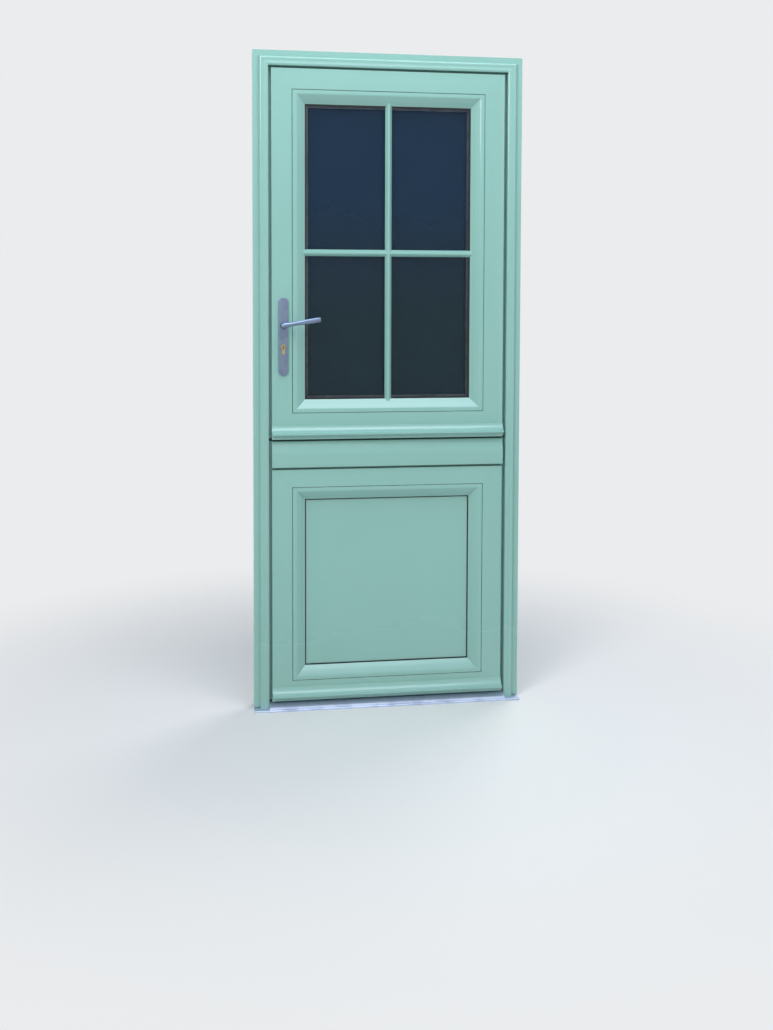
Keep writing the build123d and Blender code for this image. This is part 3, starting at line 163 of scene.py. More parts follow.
def own_copy(piece: bpy.types.Object) -> bpy.types.Object:
    """Copy a piece with a mesh of its own, and put it into the scene."""
    copy = piece.copy()
    copy.data = piece.data.copy()
    bpy.context.scene.collection.objects.link(copy)
    return copy


class Signal:
    """A number that a node puts out, on which Python operators add Math nodes."""

    def __init__(self, graph: "Graph", socket: bpy.types.NodeSocket) -> None:
        """Keep the graph that the socket belongs to."""
        self.graph = graph
        self.socket = socket

    def _math(self, operation: str, *values: "Signal | float") -> "Signal":
        """Add one Math node.

        Args:
            operation: name of the Math node's operation.
            values: its inputs in order, each a signal or a number.

        Returns:
            The node's result.
        """
        inputs = dict(enumerate(values))
        return self.graph.add("ShaderNodeMath", {"operation": operation}, inputs)

    def __add__(self, other: "Signal | float") -> "Signal":
        """Sum."""
        return self._math("ADD", self, other)

    def __radd__(self, other: float) -> "Signal":
        """Sum with a number on the left."""
        return self._math("ADD", other, self)

    def __sub__(self, other: "Signal | float") -> "Signal":
        """Difference."""
        return self._math("SUBTRACT", self, other)

    def __rsub__(self, other: float) -> "Signal":
        """Difference from a number on the left."""
        return self._math("SUBTRACT", other, self)

    def __mul__(self, other: "Signal | float") -> "Signal":
        """Product."""
        return self._math("MULTIPLY", self, other)

    def __rmul__(self, other: float) -> "Signal":
        """Product with a number on the left."""
        return self._math("MULTIPLY", other, self)

    def size(self) -> "Signal":
        """The same number without its sign."""
        return self._math("ABSOLUTE", self)

    def lower(self, other: "Signal | float") -> "Signal":
        """The lower of two numbers."""
        return self._math("MINIMUM", self, other)

    def higher(self, other: "Signal | float") -> "Signal":
        """The higher of two numbers."""
        return self._math("MAXIMUM", self, other)

    def near(self, value: float, reach: float) -> "Signal":
        """1 where the number is within reach of a value, else 0."""
        return self._math("COMPARE", self, value, reach)

    def clamped(self) -> "Signal":
        """The same number kept between 0 and 1."""
        return self.higher(0.0).lower(1.0)


class Graph:
    """The shader nodes of a material or of the world."""

    def __init__(self, tree: bpy.types.NodeTree, output_kind: str) -> None:
        """Clear the tree and give it its output.

        Args:
            tree: the node tree to fill.
            output_kind: type of the node that it ends in.
        """
        self.tree = tree
        self.tree.nodes.clear()
        self.output = self.tree.nodes.new(output_kind)

    def add(
        self,
        kind: str,
        settings: Optional[dict] = None,
        inputs: Optional[dict] = None,
        output: "str | int" = 0,
    ) -> Signal:
        """Add a node of any type.

        Args:
            kind: the node's type.
            settings: its own settings, set first.
            inputs: values or signals by socket name or number.
            output: which of its outputs to hand back.

        Returns:
            The chosen output.
        """
        node = self.tree.nodes.new(kind)
        for key, value in (settings or {}).items():
            setattr(node, key, value)
        for key, value in (inputs or {}).items():
            self.feed(node.inputs[key], value)
        return Signal(self, node.outputs[output])

    def feed(self, socket: bpy.types.NodeSocket, value: "Signal | float | tuple") -> None:
        """Link or set one input socket.

        Args:
            socket: the input.
            value: a signal to link, or a plain value to set.
        """
        if isinstance(value, Signal):
            self.tree.links.new(value.socket, socket)
        else:
            socket.default_value = value

    def surface(self, shader: Signal) -> None:
        """End the tree in a shader."""
        self.feed(self.output.inputs["Surface"], shader)

    def seen(self) -> Signal:
        """1 for what the camera sees directly, in a reflection or through glass, else 0."""
        rays = [
            self.add("ShaderNodeLightPath", output=name)
            for name in ("Is Camera Ray", "Is Glossy Ray", "Is Transmission Ray")
        ]
        return (rays[0] + rays[1] + rays[2]).clamped()

    def band(self, value: Signal, low: float, high: float) -> Signal:
        """Smooth step of a signal.

        Args:
            value: the signal.
            low: where the result is 0.
            high: where the result is 1.

        Returns:
            A number from 0 to 1.
        """
        return self.add(
            "ShaderNodeMapRange",
            {"interpolation_type": "SMOOTHSTEP", "clamp": True},
            {"Value": value, "From Min": low, "From Max": high, "To Min": 0.0, "To Max": 1.0},
        )

    def blend(self, factor: Signal, first: "Signal | Colour", second: "Signal | Colour") -> Signal:
        """Mix of two colours.

        Args:
            factor: 0 gives the first colour and 1 the second.
            first: colour or signal.
            second: colour or signal.

        Returns:
            The mixed colour.
        """
        first = first if isinstance(first, Signal) else (*first, 1.0)
        second = second if isinstance(second, Signal) else (*second, 1.0)
        return self.add(
            "ShaderNodeMix", {"data_type": "RGBA"}, {0: factor, 6: first, 7: second}, output=2
        )


class Finish(Graph):
    """A material that ends in a Principled shader."""

    def __init__(self, name: str) -> None:
        """Make the material.

        Args:
            name: the material's name.
        """
        self.material = bpy.data.materials.new(name)
        self.material.use_nodes = True
        super().__init__(self.material.node_tree, "ShaderNodeOutputMaterial")
        self.shader = self.tree.nodes.new("ShaderNodeBsdfPrincipled")
        self.surface(Signal(self, self.shader.outputs["BSDF"]))
        self.place = self.add("ShaderNodeTexCoord", output="Object")

    def noise(self, scale: float, detail: float = 2.0, stretch: tuple = (1.0, 1.0, 1.0)) -> Signal:
        """Noise in object space.

        Args:
            scale: spots per metre.
            detail: octaves.
            stretch: how much faster it changes along each axis.

        Returns:
            A number of about 0.3 to 0.7.
        """
        place = self.add("ShaderNodeMapping", inputs={"Vector": self.place, "Scale": stretch})
        return self.add(
            "ShaderNodeTexNoise",
            {"noise_dimensions": "3D"},
            {"Vector": place, "Scale": scale, "Detail": detail, "Roughness": 0.55},
        )

    def along(self, axis: str) -> Signal:
        """Place along one axis in metres.

        Args:
            axis: X, Y or Z.

        Returns:
            The coordinate.
        """
        return self.add("ShaderNodeSeparateXYZ", inputs={"Vector": self.place}, output=axis)

    def bump(self, height: Signal, distance: float, strength: float = 1.0) -> Signal:
        """Normal from a height.

        Args:
            height: the surface's height, 0 to 1.
            distance: how far 1 stands out, in metres.
            strength: share of the effect.

        Returns:
            The bumped normal.
        """
        return self.add(
            "ShaderNodeBump",
            inputs={"Height": height, "Distance": distance, "Strength": strength},
        )

    def finish(self, **sockets: "Signal | float | tuple") -> bpy.types.Material:
        """Set the shader's sockets.

        Args:
            sockets: values or signals; an underscore in a name stands for a space.

        Returns:
            The material.
        """
        for name, value in sockets.items():
            self.feed(self.shader.inputs[name.replace("_", " ")], value)
        return self.material


@dataclass(frozen=True)
class PowderCoat:
    """Glossy powder coat on aluminium, a little dusty near the floor, with painted shade in the V
    grooves.

    Scales are in spots per metre, places and depths in metres.
    """

    name: str = "green_powder_coat"
    colour: Colour = srgb(142, 191, 182)
    shade: Colour = srgb(134, 183, 174)
    dust: Colour = srgb(170, 188, 178)
    # dark colour painted into the V grooves as their shade
    painted_groove_shade: Colour = srgb(52, 84, 80)
    roughness: float = 0.26
    coat: float = 0.45
    coat_roughness: float = 0.1
    cloud_scale: float = 2.3
    speck_scale: float = 420.0
    speck_band: tuple = (0.5, 0.72)
    dust_z: tuple = (0.02, 0.35)
    # blotch scale of the painted groove shade
    painted_groove_shade_scale: float = 35.0
    peel_scale: float = 620.0
    wave_scale: float = 22.0
    wave_depth: float = 0.0003
    groove_x: float = 0.322
    groove_levels: tuple = ((0.991, 2.050), (0.094, 0.743))
    groove_y: float = -0.0259
    groove_reach: float = 0.0013
    groove_depth: float = 0.0008

    def make(self) -> bpy.types.Material:
        """Build the material."""
        graph = Finish(self.name)
        cloud = graph.noise(self.cloud_scale, 3.0)
        low = 1.0 - graph.band(graph.along("Z"), *self.dust_z)
        speck = graph.band(graph.noise(self.speck_scale), *self.speck_band)
        dust = low * (0.12 + 0.16 * speck * cloud)
        clean = graph.blend(cloud, self.shade, self.colour)
        dusty = graph.blend(dust, clean, self.dust)
        # painted shade in the V grooves, uneven in blotches
        painted_groove_shade = self.grooves(graph) * (0.55 + 0.5 * graph.noise(self.painted_groove_shade_scale, 3.0))
        peel = graph.noise(self.peel_scale, 1.0)
        wave = graph.noise(self.wave_scale, 1.0)
        return graph.finish(
            Base_Color=graph.blend(painted_groove_shade.clamped(), dusty, self.painted_groove_shade),
            Roughness=self.roughness + 0.08 * (cloud - 0.5) + 0.5 * dust + 0.3 * painted_groove_shade,
            Coat_Weight=self.coat - 0.4 * dust,
            Coat_Roughness=self.coat_roughness,
            Normal=graph.bump(peel * 0.3 + wave, self.wave_depth, 0.3),
        )

    def grooves(self, graph: Finish) -> Signal:
        """1 in the V grooves that run round each leaf's moulding, where shade is painted, else 0.

        Args:
            graph: the material's nodes.

        Returns:
            The mask.
        """
        x, y, z = (graph.along(axis) for axis in "XYZ")
        side = x.size() - self.groove_x
        outside = [
            side.higher((z - (low + high) / 2).size() - (high - low) / 2)
            for low, high in self.groove_levels
        ]
        line = outside[0].size().lower(outside[1].size())
        return line.near(0.0, self.groove_reach) * y.near(self.groove_y, self.groove_depth)


@dataclass(frozen=True)
class DrawnMetal:
    """Bare metal with the fine lines of drawing or brushing."""

    name: str
    colour: Colour
    dull: Colour
    grain: Grain = Grain.ALONG_X
    roughness: float = 0.3
    metallic: float = 1.0
    line_depth: float = 0.00004
    patch_scale: float = 14.0
    patch_band: tuple = (0.42, 0.66)

    def make(self) -> bpy.types.Material:
        """Build the material."""
        graph = Finish(self.name)
        lines = graph.noise(1.0, 3.0, self.grain.value)
        patch = graph.band(graph.noise(self.patch_scale, 4.0), *self.patch_band)
        return graph.finish(
            Base_Color=graph.blend(patch * 0.6 + lines * 0.4, self.colour, self.dull),
            Metallic=self.metallic,
            Roughness=self.roughness + 0.16 * patch + 0.14 * (lines - 0.5),
            Normal=graph.bump(lines, self.line_depth, 0.5),
        )


@dataclass(frozen=True)
class SatinAnodised:
    """Smooth satin metal of handles, with a soft bead-blasted surface."""

    name: str
    colour: Colour
    worn: Colour
    roughness: float = 0.3
    grain_scale: float = 1900.0
    grain_depth: float = 0.00003
    patch_scale: float = 30.0
    patch_band: tuple = (0.4, 0.68)

    def make(self) -> bpy.types.Material:
        """Build the material."""
        graph = Finish(self.name)
        grain = graph.noise(self.grain_scale)
        patch = graph.band(graph.noise(self.patch_scale, 4.0), *self.patch_band)
        return graph.finish(
            Base_Color=graph.blend(patch, self.colour, self.worn),
            Metallic=1.0,
            Roughness=self.roughness + 0.12 * patch,
            Normal=graph.bump(grain, self.grain_depth, 0.35),
        )


@dataclass(frozen=True)
class WeatherSeal:
    """Black rubber with a little chalky bloom."""

    name: str = "black_weather_seal"
    colour: Colour = srgb(20, 22, 24)
    bloom: Colour = srgb(52, 54, 56)
    roughness: float = 0.5
    bloom_scale: float = 60.0
    bloom_band: tuple = (0.5, 0.75)
    grain_scale: float = 1500.0
    grain_depth: float = 0.00005

    def make(self) -> bpy.types.Material:
        """Build the material."""
        graph = Finish(self.name)
        bloom = graph.band(graph.noise(self.bloom_scale, 5.0), *self.bloom_band)
        return graph.finish(
            Base_Color=graph.blend(bloom * 0.6, self.colour, self.bloom),
            Roughness=self.roughness + 0.25 * bloom,
            Normal=graph.bump(graph.noise(self.grain_scale), self.grain_depth, 0.5),
        )


@dataclass(frozen=True)
class CoatedGlass:
    """Double glazing: a clear outer pane before a near-opaque inner one whose dark is painted shade
    of the unlit room, with a painted reflection of green ground on the lower panes.
    """

    name: str = "coated_glass"
    colour: Colour = srgb(10, 46, 74)
    # greener colour low down: painted reflection of the green ground
    foot: Colour = srgb(16, 44, 52)
    film: Colour = srgb(40, 66, 84)
    outer_cover: float = 0.22
    # near-opaque inner pane: painted shade of the unlit room behind
    room_shade_cover: float = 0.93
    cavity_y: tuple = (0.010, 0.022)
    reflection_fade_z: tuple = (1.25, 1.75)
    film_scale: float = 5.0
    spot_scale: float = 260.0
    spot_band: tuple = (0.66, 0.74)
    roughness: float = 0.02
    ior: float = 1.45
    specular: float = 0.35

    def make(self) -> bpy.types.Material:
        """Build the material."""
        graph = Finish(self.name)
        film = graph.noise(self.film_scale, 5.0)
        spots = graph.band(graph.noise(self.spot_scale, 3.0), *self.spot_band)
        inner = graph.band(graph.along("Y"), *self.cavity_y)
        # tint that turns into the painted ground reflection lower down
        tint_and_reflection = graph.blend(graph.band(graph.along("Z"), *self.reflection_fade_z), self.foot, self.colour)
        cover = self.outer_cover + (self.room_shade_cover - self.outer_cover) * inner
        return graph.finish(
            Base_Color=graph.blend(film * 0.2 + spots * 0.2, tint_and_reflection, self.film),
            Roughness=self.roughness + 0.03 * film + 0.1 * spots,
            Alpha=cover + 0.04 * spots,
            IOR=self.ior,
            Specular_IOR_Level=self.specular,
        )


@dataclass
class Finishes:
    """Every finish on the door, made once."""

    paint: bpy.types.Material = field(init=False)
    sill: bpy.types.Material = field(init=False)
    handle: bpy.types.Material = field(init=False)
    steel: bpy.types.Material = field(init=False)
    steel_upright: bpy.types.Material = field(init=False)
    brass: bpy.types.Material = field(init=False)
    seal: bpy.types.Material = field(init=False)
    glass: bpy.types.Material = field(init=False)
    spacer: bpy.types.Material = field(init=False)
    cast: bpy.types.Material = field(init=False)

    def __post_init__(self) -> None:
        """Build the materials."""
        self.paint = PowderCoat().make()
        # bluish lavender here is partly painted sky reflection on silver aluminium
        self.sill = DrawnMetal(
            "sill_aluminium",
            srgb(206, 215, 234),
            srgb(174, 184, 206),
            roughness=0.46,
            metallic=0.75,
        ).make()
        # bluish lavender here is partly painted sky reflection on grey satin metal
        self.handle = SatinAnodised("satin_handle", srgb(130, 144, 168), srgb(116, 130, 154)).make()
        zinc, dull_zinc = srgb(196, 198, 202), srgb(160, 163, 168)
        self.steel = DrawnMetal("plated_steel", zinc, dull_zinc, roughness=0.32).make()
        self.steel_upright = DrawnMetal(
            "plated_steel_upright", zinc, dull_zinc, Grain.ALONG_Z, 0.32
        ).make()
        self.brass = SatinAnodised(
            "cylinder_brass", srgb(190, 178, 124), srgb(146, 134, 92), 0.28
        ).make()
        self.seal = WeatherSeal().make()
        self.glass = CoatedGlass().make()
        self.spacer = DrawnMetal(
            "spacer_metal", srgb(120, 126, 132), srgb(92, 98, 104), Grain.ALONG_Z, 0.45
        ).make()
        self.cast = DrawnMetal(
            "cast_cleat", srgb(150, 152, 154), srgb(120, 122, 126), roughness=0.5
        ).make()


def smooth_shading(limit: float) -> bpy.types.NodeTree:
    """Node group of a modifier that shades round faces smooth and keeps sharper edges.

    Args:
        limit: the angle in radians from which an edge stays sharp.

    Returns:
        The geometry node group.
    """
    group = bpy.data.node_groups.new("smooth_round_faces", "GeometryNodeTree")
    group.is_modifier = True
    for way in ("INPUT", "OUTPUT"):
        group.interface.new_socket(
            name="Geometry", in_out=way, socket_type="NodeSocketGeometry"
        )
    shade = "GeometryNodeSetShadeSmooth"
    chain = [
        group.nodes.new(kind) for kind in ("NodeGroupInput", shade, shade, "NodeGroupOutput")
    ]
    for before, after in zip(chain, chain[1:]):
        group.links.new(before.outputs[0], after.inputs[0])
    round_faces, sharp_edges = chain[1:3]
    round_faces.domain = "FACE"
    round_faces.inputs["Shade Smooth"].default_value = True
    sharp_edges.domain = "EDGE"
    sharp_edges.inputs["Shade Smooth"].default_value = False
    angle = group.nodes.new("GeometryNodeInputMeshEdgeAngle")
    sharp = group.nodes.new("FunctionNodeCompare")
    sharp.data_type = "FLOAT"
    sharp.operation = "GREATER_THAN"
    sharp.inputs[1].default_value = limit
    group.links.new(angle.outputs["Unsigned Angle"], sharp.inputs[0])
    group.links.new(sharp.outputs[0], sharp_edges.inputs["Selection"])
    return group


@dataclass
class Finisher:
    """Gives CAD nodes their material, smooth round faces and softened edges."""

    weld: float = 0.00001
    flatness: float = math.radians(0.3)
    limit: float = SMOOTH_LIMIT
    segments: int = 2
    shading: bpy.types.NodeTree = field(init=False)

    def __post_init__(self) -> None:
        """Make the shading group once."""
        self.shading = smooth_shading(self.limit)

    def dress(
        self, names: Iterable[str], material: bpy.types.Material, edge: Edge = Edge.FINE
    ) -> None:
        """Give CAD nodes their finish and a small rounding on their edges.

        Args:
            names: the nodes.
            material: the finish.
            edge: how wide the rounding is.
        """
        for name in names:
            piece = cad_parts[name]
            piece.data.materials.clear()
            piece.data.materials.append(material)
            if edge is not Edge.SHARP:
                self.soften(piece, edge.value)
            LOG.info("%s finished in %s", name, material.name)

    def soften(self, piece: bpy.types.Object, width: float) -> None:
        """Join the facets of a CAD node and round its edges with modifiers.

        Args:
            piece: the node.
            width: width of the rounding in metres.
        """
        weld = piece.modifiers.new("join_facets", "WELD")
        weld.merge_threshold = self.weld
        flat = piece.modifiers.new("flat_faces", "DECIMATE")
        flat.decimate_type = "DISSOLVE"
        flat.angle_limit = self.flatness
        smooth = piece.modifiers.new("smooth_round_faces", "NODES")
        smooth.node_group = self.shading
        rounding = piece.modifiers.new("round_edges", "BEVEL")
        rounding.width = width
        rounding.segments = self.segments
        rounding.limit_method = "ANGLE"
        rounding.angle_limit = self.limit
        rounding.harden_normals = True


@dataclass
class DoorFrame:
    """Jambs, head, threshold and what is fixed to them."""

    painted: tuple = ("hinge_jamb", "lock_jamb", "frame_head")
    plated: tuple = (
        *(f"frame_hinge_{number}" for number in (1, 2, 3, 4)),
        "hinge_pins",
        "lock_keep",
    )

    def build(self, finisher: Finisher, finishes: Finishes) -> None:
        """Dress the frame.

        Args:
            finisher: what dresses the CAD nodes.
            finishes: the door's finishes.
        """
        finisher.dress(self.painted, finishes.paint, Edge.PAINTED)
        finisher.dress(("threshold",), finishes.sill)
        finisher.dress(("frame_gasket",), finishes.seal, Edge.SHARP)
        finisher.dress(self.plated, finishes.steel_upright)
        finisher.dress(("side_bolt_keep",), finishes.steel)


@dataclass
class LowerLeaf:
    """Panelled lower leaf with the meeting rail and its bolts."""

    painted: tuple = (
        "lower_hinge_stile",
        "lower_lock_stile",
        "lower_top_rail",
        "lower_bottom_rail",
        "lower_panel",
        "lower_beads",
        "lower_drip_rail",
        "meeting_rail",
        "meeting_rail_caps",
    )
    upright: tuple = ("leaf_hinge_1", "leaf_hinge_2", "coupling_bolt_plate", "coupling_bolt")

    def build(self, finisher: Finisher, finishes: Finishes) -> None:
        """Dress the leaf.

        Args:
            finisher: what dresses the CAD nodes.
            finishes: the door's finishes.
        """
        finisher.dress(self.painted, finishes.paint, Edge.PAINTED)
        finisher.dress(("lower_gaskets", "bottom_brush"), finishes.seal, Edge.SHARP)
        finisher.dress(self.upright, finishes.steel_upright)
        finisher.dress(("side_bolt_plate", "side_bolt"), finishes.steel)
        finisher.dress(("lower_leaf_cleats",), finishes.cast)


@dataclass
class UpperLeaf:
    """Glazed upper leaf."""

    painted: tuple = (
        "upper_hinge_stile",
        "upper_lock_stile",
        "upper_top_rail",
        "upper_bottom_rail",
        "upper_beads",
        "outer_glazing_bars",
        "inner_glazing_bars",
        "upper_drip_rail",
    )
    seals: tuple = ("upper_gaskets", "edge_sealant", "meeting_seal")
    upright: tuple = ("leaf_hinge_3", "leaf_hinge_4", "coupling_bolt_keep")

    def build(self, finisher: Finisher, finishes: Finishes) -> None:
        """Dress the leaf.

        Args:
            finisher: what dresses the CAD nodes.
            finishes: the door's finishes.
        """
        finisher.dress(self.painted, finishes.paint, Edge.PAINTED)
        finisher.dress(("glass_panes",), finishes.glass, Edge.SHARP)
        finisher.dress(("glazing_spacer",), finishes.spacer, Edge.SHARP)
        finisher.dress(self.seals, finishes.seal, Edge.SHARP)
        finisher.dress(self.upright, finishes.steel_upright)
        finisher.dress(("upper_leaf_cleats",), finishes.cast)


@dataclass
class LockSet:
    """Handle plates, levers, key cylinder, lock case and bolts."""

    handles: tuple = ("outer_handle_plate", "inner_handle_plate", "outer_lever", "inner_lever")
    plated: tuple = ("lock_case", "lock_faceplate", "latch_bolt", "dead_bolt", "lever_spindle")

    def build(self, finisher: Finisher, finishes: Finishes) -> None:
        """Dress the lock.

        Args:
            finisher: what dresses the CAD nodes.
            finishes: the door's finishes.
        """
        finisher.dress(self.handles, finishes.handle)
        finisher.dress(("cylinder_body", "cylinder_plug"), finishes.brass)
        finisher.dress(self.plated, finishes.steel_upright)


@dataclass(frozen=True)
class Section:
    """Oval cross-section of a lofted piece: its place along it and its half sizes, in metres."""

    along: float
    half_height: float
    half_depth: float


def loft(sections: Iterable[Section], sides: int = 40, levels: int = 1) -> bpy.types.Object:
    """Model a closed oval body that stands along Z, from a disc extruded section by section.

    Args:
        sections: its sections from the foot up.
        sides: corners of each section.
        levels: how often it is subdivided.

    Returns:
        The body, with X as its height and Y as its depth.
    """
    first, *rest = sections
    bpy.ops.object.select_all(action="DESELECT")
    bpy.ops.mesh.primitive_circle_add(vertices=sides, radius=1.0, fill_type="NGON")
    body = bpy.context.object
    body.scale = (first.half_height, first.half_depth, 1.0)
    body.location = (0.0, 0.0, first.along)
    settle(body)
    with edit_mode(body):
        bpy.ops.mesh.select_all(action="SELECT")
        before = first
        for section in rest:
            bpy.ops.mesh.extrude_region_move(
                TRANSFORM_OT_translate={"value": (0.0, 0.0, section.along - before.along)}
            )
            shrink = (
                section.half_height / before.half_height,
                section.half_depth / before.half_depth,
                1.0,
            )
            bpy.ops.transform.resize(value=shrink, center_override=(0.0, 0.0, section.along))
            before = section
        bpy.ops.mesh.select_all(action="SELECT")
        bpy.ops.mesh.normals_make_consistent(inside=False)
    apply_modifier(body, "round", "SUBSURF", levels=levels)
    return body


@dataclass
class HandleSet:
    """Levers with a flat widening blade, and plates with nearly round ends, on both sides."""

    axis: tuple = (-0.352, 0.008, 1.282)
    leaf_front: float = -0.027
    stand: float = 0.050
    rise: float = math.radians(9.0)
    blade_limit: float = math.radians(40.0)
    corner: float = 0.0145
    corner_steps: int = 14
    rim: float = 0.0013
    rim_steps: int = 3
    hole_gap: float = 0.00015
    barrel_sides: int = 48
    tail_half_width: float = 0.005
    tail_sides: int = 32
    blade: tuple = (
        Section(-0.0100, 0.0040, 0.0040),
        Section(-0.0092, 0.0072, 0.0072),
        Section(-0.0050, 0.0096, 0.0094),
        Section(0.0040, 0.0098, 0.0096),
        Section(0.0140, 0.0082, 0.0082),
        Section(0.0250, 0.0070, 0.0066),
        Section(0.0400, 0.0070, 0.0059),
        Section(0.0600, 0.0078, 0.0054),
        Section(0.0850, 0.0086, 0.0050),
        Section(0.1080, 0.0086, 0.0046),
        Section(0.1175, 0.0083, 0.0043),
        Section(0.1200, 0.0080, 0.0040),
        Section(0.1210, 0.0070, 0.0032),
    )
    neck: tuple = (
        Section(0.0060, 0.0114, 0.0114),
        Section(0.0070, 0.0115, 0.0115),
        Section(0.0190, 0.0115, 0.0115),
        Section(0.0200, 0.0110, 0.0110),
        Section(0.0225, 0.0092, 0.0092),
        Section(0.0280, 0.0086, 0.0086),
        Section(0.0480, 0.0084, 0.0084),
    )

    def build(self, finishes: Finishes) -> None:
        """Model the outer lever and plate, and mirror them to the inner side.

        Args:
            finishes: the door's finishes.
        """
        for node, piece, body in (
            ("lever", self.model_lever(), "handle"),
            ("handle_plate", self.model_plate(), "upper_leaf"),
        ):
            piece.data.materials.append(finishes.handle)
            for side in ("outer", "inner"):
                copy = self.copy_to(side, piece)
                copy.name = f"{side}_{node}_piece"
                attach(copy, body)
                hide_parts(f"{side}_{node}")
            bpy.data.objects.remove(piece)

    def model_lever(self) -> bpy.types.Object:
        """Model the outer lever: its blade joined to its neck."""
        blade = loft(self.blade)
        neck = loft(self.neck)
        x, _, z = self.axis
        rise = Matrix.Rotation(QUARTER_TURN - self.rise, 4, "Y")
        blade.data.transform(Matrix.Translation((x, self.leaf_front - self.stand, z)) @ rise)
        outwards = Matrix.Rotation(QUARTER_TURN, 4, "X")
        neck.data.transform(Matrix.Translation((x, self.leaf_front, z)) @ outwards)
        apply_modifier(
            blade, "join_neck", "BOOLEAN", operation="UNION", solver="EXACT", object=neck
        )
        bpy.data.objects.remove(neck)
        bpy.ops.object.shade_smooth_by_angle(angle=self.blade_limit)
        return blade

    def model_plate(self) -> bpy.types.Object:
        """Model the outer plate in its node's box, with rounded corners and a soft rim."""
        low, high = (Vector(corner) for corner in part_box("outer_handle_plate"))
        bpy.ops.object.select_all(action="DESELECT")
        bpy.ops.mesh.primitive_cube_add(size=1.0, location=(low + high) / 2)
        plate = bpy.context.object
        plate.scale = high - low
        settle(plate)
        with edit_mode(plate):
            select_where(plate, Element.EDGE, lambda edge: abs(edge_run(edge).y) > FACING)
            bpy.ops.mesh.bevel(offset=self.corner, segments=self.corner_steps, affect="EDGES")
            bpy.ops.mesh.select_all(action="DESELECT")
            select_where(plate, Element.FACE, lambda face: face.normal.y < -FACING)
            bpy.ops.mesh.bevel(offset=self.rim, segments=self.rim_steps, affect="EDGES")
        self.cut_keyhole(plate)
        bpy.ops.object.shade_smooth_by_angle(angle=SMOOTH_LIMIT)
        return plate

    def cut_keyhole(self, plate: bpy.types.Object) -> None:
        """Cut the opening that the key cylinder stands in.

        Args:
            plate: the plate.
        """
        low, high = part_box("cylinder_body")
        radius = (high[0] - low[0]) / 2 + self.hole_gap
        tail = self.tail_half_width + self.hole_gap
        x, y = ((low[axis] + high[axis]) / 2 for axis in (0, 1))
        depth = high[1] - low[1]
        barrel = high[2] - radius + self.hole_gap
        foot = low[2] + self.tail_half_width
        for half, level, sides in (
            (radius, barrel, self.barrel_sides),
            (tail, foot, self.tail_sides),
        ):
            bpy.ops.object.select_all(action="DESELECT")
            bpy.ops.mesh.primitive_cylinder_add(
                vertices=sides, radius=half, depth=depth, rotation=(QUARTER_TURN, 0.0, 0.0)
            )
            cutter = bpy.context.object
            settle(cutter)
            cutter.data.transform(Matrix.Translation((x, y, level)))
            subtract(plate, cutter)
        bpy.ops.object.select_all(action="DESELECT")
        bpy.ops.mesh.primitive_cube_add(size=1.0, location=(x, y, (barrel + foot) / 2))
        cutter = bpy.context.object
        cutter.scale = (2 * tail, depth, barrel - foot)
        settle(cutter)
        subtract(plate, cutter)

    def copy_to(self, side: str, piece: bpy.types.Object) -> bpy.types.Object:
        """Copy a piece, mirrored through the leaf's middle for the inner side.

        Args:
            side: outer or inner.
            piece: the outer piece.

        Returns:
            The copy.
        """
        copy = own_copy(piece)
        if side == "inner":
            middle = Matrix.Translation((0.0, self.axis[1], 0.0))
            flip = Matrix.Scale(-1.0, 4, (0.0, 1.0, 0.0))
            copy.data.transform(middle @ flip @ middle.inverted())
            copy.data.flip_normals()
        return copy


@dataclass(frozen=True)
class ScrewPlace:
    """Where one screw sits: its body, its seat's middle, its facing and how far it stands out."""

    body: str
    seat: Vector
    facing: Vector
    proud: float


